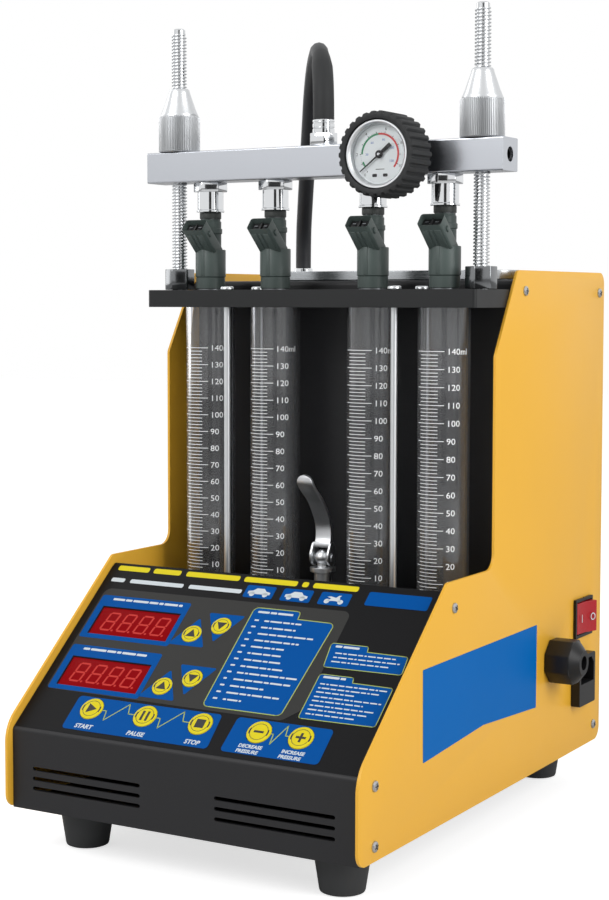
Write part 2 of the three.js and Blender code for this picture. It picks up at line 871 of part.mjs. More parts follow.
tubeOffsets.forEach((x, i) => {
  const bore = tubeRadius - tubeWall;
  addPart(`measuring_tube_${i + 1}`, turned([
    [bore, tubeBottom],
    [tubeRadius, tubeBottom],
    [tubeRadius, tubeTop],
    [bore, tubeTop],
    [bore, tubeBottom],
  ], fineSides).translate(x, tubeLine, 0), clearTube);
});

// Top plate

const plateMiddle = topPlateBottom + socketDepth;
addPart('tube_top_plate', cut(
  raised(roundedRectangle(fasciaWidth, topPlateDepth, topPlateCorner), topPlateHeight)
    .translate(0, tubeLine, topPlateBottom),
  ...tubeOffsets.map((x) => rod(tubeRadius + gap, topPlateBottom - overrun, plateMiddle, fineSides)
    .translate(x, tubeLine, 0)),
  ...tubeOffsets.map((x) => rod(injectorSkirtRadius + gap, topPlateBottom, topPlateTop + overrun, roundSides)
    .translate(x, tubeLine, 0)),
  ...tieRodSpots.map(([x, y]) => (
    rod(tieRodRadius + gap, topPlateBottom - overrun, topPlateTop + overrun, tinySides).translate(x, y, 0))),
  ...[-postOffset, postOffset].map((x) => (
    rod(postRadius + gap, topPlateBottom - overrun, topPlateTop + overrun, smallSides)
      .translate(x, tubeLine, 0))),
), blackPlate);

// Tie rods, each with its head on the plate

const tieRodNames = ['front_left', 'rear_left', 'front_right', 'rear_right'];
tieRodSpots.forEach(([x, y], i) => {
  const headBottom = topPlateTop + gap;
  addPart(`${tieRodNames[i]}_tie_rod`, turned([
    [0, baseTop - 2 * socketDepth + gap],
    [tieRodRadius, baseTop - 2 * socketDepth + gap],
    [tieRodRadius, headBottom],
    [tieRodHeadRadius, headBottom],
    [tieRodHeadRadius, headBottom + tieRodHeadHeight - tieRodHeadDome],
    [tieRodHeadRadius - tieRodHeadDome, headBottom + tieRodHeadHeight],
    [0, headBottom + tieRodHeadHeight],
  ], tinySides).translate(x, y, 0), chrome);
});

// Drain valve and its lever

const collarTop = valvePivotHeight - valveBallRadius - valveCollarHeight / 2;
const pinReach = leverWidth / 2 + leverCheek + gap;
const leverSlot = leverWidth - 2 * gap;
addPart('drain_valve_body', joined(
  turned([
    [0, gap - 2 * socketDepth],
    [valveSpigotRadius, gap - 2 * socketDepth],
    [valveSpigotRadius, gap],
    [valveFlangeRadius, gap],
    [valveFlangeRadius, valveFlangeHeight],
    [valveStemRadius, valveFlangeHeight],
    [valveStemRadius, collarTop - valveCollarHeight],
    [valveCollarRadius, collarTop - valveCollarHeight],
    [valveCollarRadius, collarTop],
    [valveNeckRadius, collarTop],
    [valveNeckRadius, valvePivotHeight],
    [0, valvePivotHeight],
  ], roundSides),
  new THREE.SphereGeometry(valveBallRadius, smallSides, smallSides / 2).translate(0, 0, valvePivotHeight),
  drawnAcross(polygon(leverPinRadius, tinySides), 2 * pinReach + leverPinHeadHeight)
    .translate(0, 0, valvePivotHeight),
  ...[-1, 1].map((side) => drawnAcross(polygon(leverPinHeadRadius, tinySides), leverPinHeadHeight)
    .translate(side * (pinReach + leverPinHeadHeight / 2), 0, valvePivotHeight)),
).translate(0, tubeLine, baseTop), chrome);

// The lever's strap follows a curve in Y and Z from its pivot, leaning forward as it rises.
function strapOutline() {
  const line = new THREE.SplineCurve(leverReachShares.map((share, i) => (
    new THREE.Vector2(-share * leverReach, leverRiseShares[i] * leverRise))));
  const steps = 2 * leverReachShares.length;
  const near = [];
  const far = [];
  for (let i = 0; i <= steps; i += 1) {
    const point = line.getPoint(i / steps);
    const tangent = line.getTangent(i / steps);
    const normal = new THREE.Vector2(-tangent.y, tangent.x).multiplyScalar(leverThickness / 2);
    near.push(point.clone().sub(normal));
    far.push(point.clone().add(normal));
  }
  return [...near, ...far.reverse()];
}

const leverFront = rounded([
  [-leverWidth / 2, -leverEyeRadius],
  [leverWidth / 2, -leverEyeRadius],
  [leverWidth / 2, leverRise, leverWidth / 2 - gap],
  [-leverWidth / 2, leverRise, leverWidth / 2 - gap],
]);
const strap = common(
  drawnAcross(strapOutline(), leverWidth),
  raised(leverFront, 4 * leverReach).translate(0, 0, -2 * leverReach).applyMatrix4(towardsFront),
);
const eyeTop = leverSlotHeight + leverThickness;
const eyeOutline = [
  ...polygon(leverEyeRadius, roundSides, Math.PI).slice(0, roundSides / 2 + 1),
  new THREE.Vector2(leverThickness, eyeTop),
  new THREE.Vector2(-leverThickness, eyeTop),
];
addPart('drain_lever', joined(
  cut(
    drawnAcross(eyeOutline, leverWidth + 2 * leverCheek),
    box(leverSlot, 4 * leverEyeRadius, 2 * leverSlotHeight),
    drawnAcross(polygon(leverPinRadius + gap, tinySides), 2 * leverWidth),
  ),
  strap,
).translate(0, tubeLine, valvePivot), chrome);

// Threaded posts and their lock nuts

const sides = [['left', -1], ['right', 1]];
const postBottom = topPlateBottom + gap;
sides.forEach(([side, sign]) => {
  addPart(`${side}_threaded_post`, turned([
    [0, postBottom],
    [postRadius, postBottom],
    [postRadius, postBottom + postLength - postTip],
    [postRadius - postTip, postBottom + postLength],
    [0, postBottom + postLength],
  ], smallSides).translate(sign * postOffset, tubeLine, 0), stainless);

  addPart(`${side}_lock_nut`, cut(
    raised(acrossFlats(lockNutFlats, 6), lockNutHeight).rotateZ(Math.PI / 6),
    rod(postRadius + gap, -overrun, lockNutHeight + overrun, smallSides),
  ).translate(sign * postOffset, tubeLine, topPlateTop + gap), blackPlate);
});

// Fuel rail

const railSection = rounded([
  [-railDepth / 2, -railHeight / 2, railEdge],
  [railDepth / 2, -railHeight / 2, railEdge],
  [railDepth / 2, railHeight / 2, railEdge],
  [-railDepth / 2, railHeight / 2, railEdge],
]);
const gaugePort = rod(stemSpigotRadius + gap, -overrun, railSocketDepth, smallSides)
  .rotateX(-Math.PI / 2)
  .translate(tieRodOffset, railFront, railCentre);

addPart('fuel_rail', cut(
  drawnAcross(railSection, railLength).translate(0, tubeLine, railCentre),
  ...[-postOffset, postOffset].map((x) => (
    rod(postRadius + 2 * gap, railBottom - overrun, railTop + overrun, roundSides).translate(x, tubeLine, 0))),
  ...tubeOffsets.map((x) => (
    rod(railSpigotRadius + gap, railBottom - overrun, railBottom + railSocketDepth, smallSides)
      .translate(x, tubeLine, 0))),
  rod(railSpigotRadius + gap, railTop - railSocketDepth, railTop + overrun, smallSides)
    .translate(0, tubeLine, 0),
  drawnAcross(polygon(railPortRadius, smallSides), 2 * railPortDepth)
    .translate(railLength / 2, tubeLine, railCentre),
  gaugePort,
), brushedRail);

// Clamp nuts: a grip and a cone in one turned piece, round the post

sides.forEach(([side, sign]) => {
  const bore = postRadius + gap;
  addPart(`${side}_clamp_nut`, turned([
    [bore, 0],
    [clampNutRadius - clampNutEdge, 0],
    [clampNutRadius, clampNutEdge],
    [clampNutRadius, clampNutGripHeight - clampNutEdge],
    [clampNutRadius - clampNutEdge, clampNutGripHeight],
    [clampNutTopRadius, clampNutGripHeight + clampNutConeHeight],
    [bore, clampNutGripHeight + clampNutConeHeight],
    [bore, 0],
  ], roundSides).translate(sign * postOffset, tubeLine, railTop + gap), stainless);
});

// Adapters

tubeOffsets.forEach((x, i) => {
  addPart(`rail_adapter_${i + 1}`, cut(
    joined(
      rod(railSpigotRadius, adapterTop - adapterNutHeight / 2, railBottom + railSocketDepth - gap, smallSides),
      raised(acrossFlats(adapterFlats, 6), adapterNutHeight).translate(0, 0, adapterTop - adapterNutHeight),
      turned([
        [0, adapterBottom],
        [adapterLipRadius, adapterBottom],
        [adapterLipRadius, adapterBottom + adapterLipHeight],
        [adapterRadius, adapterBottom + adapterLipHeight],
        [adapterRadius, adapterTop - adapterNutHeight / 2],
        [0, adapterTop - adapterNutHeight / 2],
      ], roundSides),
    ),
    rod(adapterBoreRadius, adapterBottom - overrun, adapterBottom + adapterBoreDepth, roundSides),
  ).translate(x, tubeLine, 0), chrome);
});

// Injectors, each with its connector socket facing forward and up

const injectorFootBottom = topPlateTop + injectorStandOff;
const injectorBodyBottom = injectorFootBottom + injectorFootHeight;
const injectorBodyTop = injectorBodyBottom + injectorBodyHeight;
const injectorSkirtBottom = topPlateTop - injectorSkirtReach;
const injectorNozzleBottom = injectorSkirtBottom - injectorNozzleLength;
const injectorSealBottom = adapterBottom - injectorSealHeight;
const injectorTop = adapterBottom + adapterBoreDepth - gap;

function injector() {
  const body = turned([
    [0, injectorNozzleBottom - injectorTipLength],
    [injectorTipRadius, injectorNozzleBottom - injectorTipLength],
    [injectorTipRadius, injectorNozzleBottom],
    [injectorNozzleRadius, injectorNozzleBottom],
    [injectorNozzleRadius, injectorSkirtBottom],
    [injectorSkirtRadius, injectorSkirtBottom],
    [injectorSkirtRadius, injectorFootBottom],
    [injectorFootRadius, injectorFootBottom],
    [injectorFootRadius, injectorBodyBottom],
    [injectorBodyRadius, injectorBodyBottom],
    [injectorBodyRadius, injectorBodyTop],
    [injectorNeckRadius, injectorBodyTop],
    [injectorNeckRadius, injectorSealBottom],
    [injectorSealRadius, injectorSealBottom],
    [injectorSealRadius, injectorTop],
    [0, injectorTop],
  ], roundSides);
  const socketOutline = roundedRectangle(connectorWidth, connectorThickness, connectorCorner);
  const hollowOutline = roundedRectangle(
    connectorWidth - 2 * connectorWall,
    connectorThickness - 2 * connectorWall,
    connectorCorner / 2,
  );
  const pointed = (geometry) => geometry
    .rotateX(Math.PI / 2 - connectorTilt)
    .translate(0, 0, injectorBodyTop - connectorDrop);
  const socket = cut(
    raised(socketOutline, connectorReach),
    raised(hollowOutline, connectorDepth + overrun).translate(0, 0, connectorReach - connectorDepth),
  );
  return joined(body, pointed(socket));
}

tubeOffsets.forEach((x, i) => {
  addPart(`injector_${i + 1}`, injector().translate(x, tubeLine, 0), injectorGrey);
});

// Pressure gauge: a turned case in a ribbed rubber boot, with its needle on a spindle.
// These are made facing +Z and then turned to face the front.

const gauge = new THREE.Group();
gauge.position.set(tieRodOffset, railFront - gaugeStandOff, railCentre);
gauge.rotation.x = Math.PI / 2;
model.add(gauge);

const bootBack = bootRibHeight;
const caseBack = bootBack + bootBackWall + gap;
const dialFace = caseBack + caseDepth - dialRecess;
const caseFront = caseBack + caseDepth;

function bootOutline() {
  const outline = [];
  for (let i = 0; i < bootRibs; i += 1) {
    [0, bootRibHeight, bootRibHeight, 0].forEach((rise, k) => {
      const angle = 2 * Math.PI * (i + k / 4) / bootRibs;
      outline.push(new THREE.Vector2(Math.cos(angle), Math.sin(angle)).multiplyScalar(bootRadius + rise));
    });
  }
  return outline;
}

addPart('gauge_boot', cut(
  raised(bootOutline(), gaugeDepth - 2 * bootRibHeight).translate(0, 0, bootBack),
  rod(caseRadius + gap, bootBack + bootBackWall, gaugeDepth + overrun, fineSides),
  rod(stemRadius + gap, -overrun, gaugeDepth, smallSides),
), rubber, gauge);

addPart('gauge_case', joined(
  turned([
    [0, caseBack],
    [caseRadius, caseBack],
    [caseRadius, caseFront],
    [caseRadius - bezelWidth, caseFront],
    [caseRadius - bezelWidth, dialFace],
    [spindleRadius, dialFace],
    [spindleRadius, dialFace + spindleLength],
    [0, dialFace + spindleLength],
  ], fineSides),
  rod(stemRadius, gap - gaugeStandOff, caseBack + overrun, smallSides),
  rod(stemSpigotRadius, gap - gaugeStandOff - railSocketDepth, overrun, smallSides),
), dialWhite, gauge);

const needle = joined(
  raised([
    new THREE.Vector2(-needleTail, -needleWidth / 2),
    new THREE.Vector2(needleLength, -needleWidth / 8),
    new THREE.Vector2(needleLength, needleWidth / 8),
    new THREE.Vector2(-needleTail, needleWidth / 2),
  ], needleThickness),
  rod(needleHubRadius, 0, needleThickness, smallSides),
);
const needleMesh = addPart('gauge_needle', cut(
  needle,
  rod(spindleRadius + gap, -overrun, needleThickness + overrun, tinySides),
), needleBlack, gauge);
needleMesh.position.set(0, 0, dialFace + needleLift);
needleMesh.rotation.z = needleRest;

// Hose with its fitting on the rail and its bulkhead on the deck

addPart('hose_fitting', joined(
  rod(railSpigotRadius, gap - railSocketDepth, gap + hoseNutHeight / 2, smallSides),
  raised(acrossFlats(hoseNutFlats, 6), hoseNutHeight).translate(0, 0, gap),
  rod(hoseFerruleRadius, gap + hoseNutHeight / 2, gap + hoseNutHeight + hoseFerruleHeight, smallSides),
).translate(0, tubeLine, railTop), chrome);

addPart('hose_bulkhead', joined(
  rod(bulkheadSpigotRadius, gap - bulkheadSpigotLength, gap + bulkheadNutHeight / 2, smallSides),
  raised(acrossFlats(bulkheadNutFlats, 6), bulkheadNutHeight).translate(0, 0, gap),
  rod(
    bulkheadFerruleRadius,
    gap + bulkheadNutHeight / 2,
    gap + bulkheadNutHeight + bulkheadFerruleHeight,
    smallSides,
  ),
).translate(hoseEnd[0], hoseEnd[1], deckTop), chrome);

const hoseLine = new THREE.CatmullRomCurve3(hoseRoute.map((point) => new THREE.Vector3(...point)));
addPart('hose', new THREE.ExtrudeGeometry(
  new THREE.Shape(polygon(hoseRadius, hoseSides)),
  { steps: hoseSteps, extrudePath: hoseLine, bevelEnabled: false },
), hoseBlack);

// Rocker switch

const rockerSwitch = new THREE.Group();
rockerSwitch.position.set(casingWidth / 2, rockerY, rockerZ);
model.add(rockerSwitch);

const bezelFront = bezelProud;
const bezelWindow = bezelOutline.map((size) => size - 2 * bezelFrame);
addPart('rocker_bezel', cut(
  joined(
    drawnAcross(roundedRectangle(...bezelOutline, bezelFrame / 2), bezelProud - gap)
      .translate((bezelFront + gap) / 2, 0, 0),
    box(bezelBodyDepth, ...bezelBody).translate(bezelFront - overrun / 2 - bezelBodyDepth / 2, 0, 0),
  ),
  box(rockerWellDepth, ...bezelWindow).translate(bezelFront + overrun - rockerWellDepth / 2, 0, 0),
  rod(rockerPinRadius + gap, -bezelBody[1], bezelBody[1], tinySides),
), blackPlastic, rockerSwitch);

const rockerOutline = [
  [rockerEndRise, rockerHalfLength],
  [rockerMiddleRise, 0],
  [rockerEndRise, -rockerHalfLength],
  [-rockerSideDepth, -rockerHalfLength],
  [-rockerKeelDepth, -rockerKeelHalfLength],
  [-rockerKeelDepth, rockerKeelHalfLength],
  [-rockerSideDepth, rockerHalfLength],
].map((point) => new THREE.Vector2(...point)).reverse();
const rockerPinReach = bezelBody[1] / 2 - gap;
const rockerButton = addPart('rocker_button', joined(
  raised(rockerOutline, rockerHeight).translate(0, 0, -rockerHeight / 2),
  rod(rockerPinRadius, -rockerPinReach, rockerPinReach, tinySides),
), redPlastic, rockerSwitch);
rockerButton.rotation.z = -rockerTilt;

// Mains inlet: a C14 style socket above a fuse drawer, with three pins

const socketCentreZ = inletHeight / 2 - socketTopMargin - socketHeight / 2;
const socketFloor = inletProud - socketReach;
const socketOutline = rounded([
  [-socketWidth / 2, -socketHeight / 2],
  [socketWidth / 2, -socketHeight / 2],
  [socketWidth / 2, socketHeight / 2 - socketCorner],
  [socketWidth / 2 - socketCorner, socketHeight / 2],
  [socketCorner - socketWidth / 2, socketHeight / 2],
  [-socketWidth / 2, socketHeight / 2 - socketCorner],
]);
const inletPins = [-1, 0, 1].map((place) => (
  box(inletPinLength + sheet, inletPinThickness, inletPinWidth).translate(
    socketFloor + (inletPinLength - sheet) / 2,
    place * inletPinSpacing,
    socketCentreZ + (place === 0 ? inletPinOffset : -inletPinOffset),
  )));

addPart('power_inlet', joined(
  cut(
    joined(
      drawnAcross(roundedRectangle(inletWidth, inletHeight, inletEdge), inletProud - gap)
        .translate((inletProud + gap) / 2, 0, 0),
      box(inletBodyDepth + overrun, ...inletBody).translate((overrun - inletBodyDepth) / 2, 0, 0),
    ),
    drawnAcross(socketOutline, socketReach + overrun)
      .translate(inletProud + overrun - (socketReach + overrun) / 2, 0, socketCentreZ),
  ),
  ...inletPins,
).translate(casingWidth / 2, inletY, inletZ), blackPlastic);

// Cable gland: an eight-sided body with a tapered nose, a spigot through the panel and a bore

const glandReach = glandBodyLength + glandNoseLength;
addPart('signal_gland', cut(
  joined(
    drawnAcross(acrossFlats(glandFlats, 8), glandBodyLength - gap).translate((glandBodyLength + gap) / 2, 0, 0),
    turned([
      [0, glandBodyLength / 2],
      [glandFlats / 2, glandBodyLength / 2],
      [glandFlats / 2, glandBodyLength],
      [glandNoseRadius, glandReach],
      [0, glandReach],
    ], roundSides).rotateY(Math.PI / 2),
    rod(glandSpigotRadius, -glandSpigotLength, glandBodyLength / 2, roundSides).rotateY(Math.PI / 2),
  ),
  rod(glandBoreRadius, -glandSpigotLength - overrun, glandReach + overrun, smallSides).rotateY(Math.PI / 2),
).translate(casingWidth / 2, glandY, glandZ), blackPlastic);

// The whole is centred over the floor on what it spans from side to side and from front to back.
const spanRight = Math.max(casingWidth / 2 + glandReach, railLength / 2);
const spanLeft = Math.max(casingWidth, railLength) / 2;
model.position.set((spanLeft - spanRight) / 2, -casingDepth / 2, 0);

const group = new THREE.Group();
group.add(model);
group.updateMatrixWorld(true);

export default group;
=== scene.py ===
# %% [markdown]
# # A bench injector cleaner, dressed for its portrait
# The machine has a folded steel casing, four glass measuring tubes in the middle, and a fuel rail
# with injectors, a gauge and a hose above them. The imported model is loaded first. It gives every
# part its place, and the finished pieces are built round it.

import json
import math

import bmesh
import bpy
from mathutils import Matrix, Vector


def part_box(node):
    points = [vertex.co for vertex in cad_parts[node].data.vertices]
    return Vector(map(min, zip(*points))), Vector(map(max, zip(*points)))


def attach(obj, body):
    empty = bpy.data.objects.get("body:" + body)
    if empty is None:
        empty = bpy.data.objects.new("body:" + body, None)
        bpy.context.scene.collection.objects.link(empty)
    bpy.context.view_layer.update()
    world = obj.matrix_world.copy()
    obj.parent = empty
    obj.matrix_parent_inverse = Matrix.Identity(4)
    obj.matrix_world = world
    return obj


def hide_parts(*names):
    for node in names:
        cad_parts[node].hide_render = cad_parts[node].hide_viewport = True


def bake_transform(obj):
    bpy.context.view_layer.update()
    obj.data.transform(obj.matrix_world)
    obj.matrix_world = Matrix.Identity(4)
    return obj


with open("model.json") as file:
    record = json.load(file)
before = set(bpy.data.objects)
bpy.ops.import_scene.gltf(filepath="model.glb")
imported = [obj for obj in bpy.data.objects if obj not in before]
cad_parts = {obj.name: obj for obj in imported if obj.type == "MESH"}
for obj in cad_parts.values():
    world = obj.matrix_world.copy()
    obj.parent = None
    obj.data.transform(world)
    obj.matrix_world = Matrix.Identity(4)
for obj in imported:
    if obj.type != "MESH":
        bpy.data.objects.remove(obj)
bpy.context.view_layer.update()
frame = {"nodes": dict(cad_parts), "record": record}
print("loaded", len(frame["nodes"]), "nodes")

# %% [markdown]
# The casing was drawn in millimetres from the middle of its front edge. `at` turns such a place
# into the frame's metres. The base block of the tubes says where that middle is, so nothing has
# to be measured twice.

# %% Places
MM = 0.001
TUBE_LINE = 205.0
low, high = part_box("tube_base")
ORIGIN = Vector(((low.x + high.x) / 2, (low.y + high.y) / 2 - TUBE_LINE * MM, 0))


def at(x, y, z):
    return ORIGIN + Vector((x, y, z)) * MM


print("casing frame starts at", tuple(round(v, 4) for v in ORIGIN))

# %% [markdown]
# The camera stands where the photograph was taken from: a little to the right of the front, low
# enough to look up at the rail. A long lens keeps the upright lines nearly parallel. The camera's
# aim isn't quite the picture's middle. A shift of the lens gives that without turning the camera,
# so the upright lines stay upright.

# %% Camera
CAMERA_TURN = math.radians(30.99)
CAMERA_TILT = math.radians(3.9)
CAMERA_PLACE = at(672.85, -1001.24, 386.84)
PICTURE_WIDTH, PICTURE_HEIGHT = 609, 900
AIM_ACROSS, AIM_DOWN = 263.85, 426.13
FOCAL_PIXELS = 1849.12
forward = Vector((
    -math.sin(CAMERA_TURN) * math.cos(CAMERA_TILT),
    math.cos(CAMERA_TURN) * math.cos(CAMERA_TILT),
    -math.sin(CAMERA_TILT),
))
lens = bpy.data.cameras.new("Camera")
lens.sensor_width = 36
lens.lens = FOCAL_PIXELS / PICTURE_HEIGHT * lens.sensor_width
lens.shift_x = (PICTURE_WIDTH / 2 - AIM_ACROSS) / PICTURE_HEIGHT
lens.shift_y = (AIM_DOWN - PICTURE_HEIGHT / 2) / PICTURE_HEIGHT
camera = bpy.data.objects.new("Camera", lens)
camera.location = CAMERA_PLACE
camera.rotation_euler = forward.to_track_quat("-Z", "Y").to_euler()
bpy.context.scene.collection.objects.link(camera)
bpy.context.scene.camera = camera
print("lens", round(lens.lens, 2), "mm")

# %% [markdown]
# Powder coat, anodised plate, rubber and moulded plastic each have a fine surface of their own.
# The same few effects come back in many of them, so each effect is a node group that is built
# once. All of them read the object's own coordinates, which stay with a piece when it moves.

# %% Making a node group
def feed(tree, socket, value):
    """Links a socket to what comes from another node, or sets a plain value on it."""
    if isinstance(value, bpy.types.NodeSocket):
        tree.links.new(value, socket)
    else:
        socket.default_value = value


def new_group(name, inputs, outputs):
    """An empty group, with its inputs, its outputs and the object's coordinates."""
    group = bpy.data.node_groups.new(name, "ShaderNodeTree")
    for socket, kind, value in inputs:
        made = group.interface.new_socket(socket, in_out="INPUT", socket_type=f"NodeSocket{kind}")
        made.default_value = value
    for socket, kind in outputs:
        group.interface.new_socket(socket, in_out="OUTPUT", socket_type=f"NodeSocket{kind}")
    given = group.nodes.new("NodeGroupInput").outputs
    result = group.nodes.new("NodeGroupOutput").inputs
    return group, given, result, group.nodes.new("ShaderNodeTexCoord").outputs["Object"]


def noise(tree, where, scale, detail):
    node = tree.nodes.new("ShaderNodeTexNoise")
    node.inputs["Detail"].default_value = detail
    feed(tree, node.inputs["Vector"], where)
    feed(tree, node.inputs["Scale"], scale)
    return node.outputs["Fac"]


def calculate(tree, operation, *values):
    node = tree.nodes.new("ShaderNodeMath")
    node.operation = operation
    for socket, value in zip(node.inputs, values):
        feed(tree, socket, value)
    return node.outputs[0]


def calculate_vector(tree, operation, first, second):
    """The same for colours and places. Only scaling takes its number on a socket of its own."""
    node = tree.nodes.new("ShaderNodeVectorMath")
    node.operation = operation
    feed(tree, node.inputs[0], first)
    feed(tree, node.inputs["Scale" if operation == "SCALE" else 1], second)
    return node.outputs[0]


def wandering(tree, pattern, spread, middle):
    """A value that follows a pattern to both sides of its middle."""
    offset = calculate(tree, "SUBTRACT", pattern, 0.5)
    return calculate(tree, "MULTIPLY_ADD", offset, spread, middle)


print("node groups so far:", len(bpy.data.node_groups))

# %% [markdown]
# Mottle is the unevenness that every real paint has. A broad noise makes the colour a little
# lighter and darker, and a finer one does the same for the gloss.

# %% Mottle
def mottle_group():
    group, given, result, place = new_group(
        "Mottle",
        [("Color", "Color", (0.5, 0.5, 0.5, 1)), ("Roughness", "Float", 0.5), ("Scale", "Float", 12.0),
         ("Shade", "Float", 0.08), ("Gloss Spread", "Float", 0.08)],
        [("Color", "Color"), ("Roughness", "Float")],
    )
    patches = noise(group, place, given["Scale"], 4)
    smears = noise(group, place, calculate(group, "MULTIPLY", given["Scale"], 3.3), 6)
    light = wandering(group, patches, given["Shade"], 1.0)
    tint = calculate_vector(group, "SCALE", given["Color"], light)
    feed(group, result["Color"], tint)
    rough = wandering(group, smears, given["Gloss Spread"], given["Roughness"])
    feed(group, result["Roughness"], rough)
    return group


MOTTLE = mottle_group()
print("node group:", MOTTLE.name)

# %% [markdown]
# A fine relief stands for the grain of melted powder, rubber and moulded plastic. It is a height
# for a bump, since grain this fine isn't worth real faces.

# %% Fine relief
def relief_group():
    group, given, result, place = new_group(
        "Fine relief", [("Scale", "Float", 900.0), ("Depth", "Float", 1.0)], [("Height", "Float")])
    waves = noise(group, place, given["Scale"], 2)
    feed(group, result["Height"], calculate(group, "MULTIPLY", waves, given["Depth"]))
    return group


RELIEF = relief_group()
print("node group:", RELIEF.name)

# %% [markdown]
# Brushed and turned metal has fine lines in one direction. The coordinates are stretched by a
# different number along each axis before the noise reads them, so that its spots become lines.

# %% Brushed grain
def brushed_group():
    group, given, result, place = new_group(
        "Brushed grain",
        [("Along", "Vector", (40, 1500, 1500)), ("Depth", "Float", 1.0), ("Roughness", "Float", 0.3),
         ("Gloss Spread", "Float", 0.15)],
        [("Roughness", "Float"), ("Height", "Float")],
    )
    stretched = calculate_vector(group, "MULTIPLY", place, given["Along"])
    lines = noise(group, stretched, 1.0, 4)
    rough = wandering(group, lines, given["Gloss Spread"], given["Roughness"])
    feed(group, result["Roughness"], rough)
    feed(group, result["Height"], calculate(group, "MULTIPLY", lines, given["Depth"]))
    return group


BRUSHED = brushed_group()
print("node group:", BRUSHED.name)

# %% [markdown]
# One function mixes a finish from these groups: a colour, how matt it is, how metallic, and either
# a fine relief or a brushed grain. Numbers that are the same all over go straight on the shader.

# %% Mixing a finish
PATCH_SCALE = 12.0
BUMP_DISTANCE = 0.0001


def colour(text):
    """Linear red, green and blue from a colour that is written as six hexadecimal figures."""
    parts = [int(text[i:i + 2], 16) / 255 for i in (0, 2, 4)]
    return tuple(p / 12.92 if p <= 0.04045 else ((p + 0.055) / 1.055) ** 2.4 for p in parts) + (1.0,)


def set_values(node, values):
    """Sets a node's inputs by name, with underscores for the spaces."""
    for name, value in values.items():
        node.inputs[name.replace("_", " ")].default_value = value


def use_group(tree, group, **values):
    node = tree.nodes.new("ShaderNodeGroup")
    node.node_tree = group
    set_values(node, values)
    return node.outputs


def plain_finish(name, **values):
    """A material that is the same all over."""
    material = bpy.data.materials.new(name)
    material.use_nodes = True
    set_values(material.node_tree.nodes["Principled BSDF"], values)
    return material


def finish(name, paint, roughness, metallic=0.0, shade=0.08, spread=0.08, relief=None, brushed=None,
           bump=0.1, **shader_values):
    """Shade and spread say how far the colour and the gloss wander."""
    material = plain_finish(name, Metallic=metallic, **shader_values)
    tree = material.node_tree
    shader = tree.nodes["Principled BSDF"].inputs
    mottle = use_group(tree, MOTTLE, Color=colour(paint), Roughness=roughness, Scale=PATCH_SCALE,
                       Shade=shade, Gloss_Spread=spread)
    feed(tree, shader["Base Color"], mottle["Color"])
    feed(tree, shader["Roughness"], mottle["Roughness"])
    height = None
    if relief:
        height = use_group(tree, RELIEF, Scale=relief)["Height"]
    if brushed:
        grain = use_group(tree, BRUSHED, Along=brushed, Roughness=roughness, Gloss_Spread=spread * 2)
        feed(tree, shader["Roughness"], grain["Roughness"])
        height = grain["Height"]
    if height:
        dent = tree.nodes.new("ShaderNodeBump")
        set_values(dent, {"Strength": bump, "Distance": BUMP_DISTANCE})
        feed(tree, dent.inputs["Height"], height)
        feed(tree, shader["Normal"], dent.outputs["Normal"])
    return material


print("mid grey for the shader:", round(colour("808080")[0], 3))

# %% [markdown]
# The casing is powder coated, gold yellow on its sides and black elsewhere. The coat is a little
# rough, so its highlights are soft. The plates are anodised, a dull satin black. Rubber and moulded
# plastic are nearly black too, but rubber is greyer and more matt, and that tells them apart.

# %% Paint, rubber and plastic
YELLOW = finish("Yellow powder coat", "f4b938", 0.45, shade=0.05, relief=700, bump=0.12,
                Specular_IOR_Level=0.4, Coat_Weight=0.1, Coat_Roughness=0.3)
BLACK = finish("Black powder coat", "232325", 0.5, shade=0.14, relief=900, bump=0.15,
               Specular_IOR_Level=0.3)
PLATE = finish("Black anodised plate", "1e1f20", 0.45, shade=0.12, relief=1500, bump=0.08,
               Specular_IOR_Level=0.3)
RUBBER = finish("Moulded rubber", "2b2c2d", 0.62, shade=0.15, spread=0.12, relief=1400, bump=0.2,
                Specular_IOR_Level=0.3)
HOSE_RUBBER = finish("Hose rubber", "2a2b2e", 0.5, shade=0.15, spread=0.12, relief=1200, bump=0.2,
                     Specular_IOR_Level=0.35)
FOOT_RUBBER = finish("Foot rubber", "3b3c3d", 0.6, shade=0.12, spread=0.12, relief=1400, bump=0.2,
                     Specular_IOR_Level=0.35)
SEAL_RUBBER = finish("Seal rubber", "343836", 0.5, shade=0.1, relief=1400)
BLACK_PLASTIC = finish("Black moulded plastic", "151516", 0.4, shade=0.12, relief=1600, bump=0.12,
                       Specular_IOR_Level=0.3)
INJECTOR_GREY = finish("Injector plastic", "4e5956", 0.42, shade=0.16, relief=1300, bump=0.2,
                       Specular_IOR_Level=0.35)
RED_PLASTIC = finish("Red switch plastic", "b01420", 0.25, shade=0.06, Specular_IOR_Level=0.35)
BOARD_GREEN = finish("Circuit board", "1f5a34", 0.4, shade=0.1, relief=900)
print("finishes:", len(bpy.data.materials))

# %% [markdown]
# The panel's films and the side decal are printed plastic sheets. They mirror very little, so
# their shine is kept low, or the lamps would wash the colours out. The inks on the dial and on the
# glass are flat colours. The white of the graduations glows faintly, since such fine marks on
# clear glass come out grey otherwise.

# %% Films and inks
def printed_film(name, paint, roughness, shade, shine):
    return finish(name, paint, roughness, shade=shade, relief=600, bump=0.05, Specular_IOR_Level=shine)


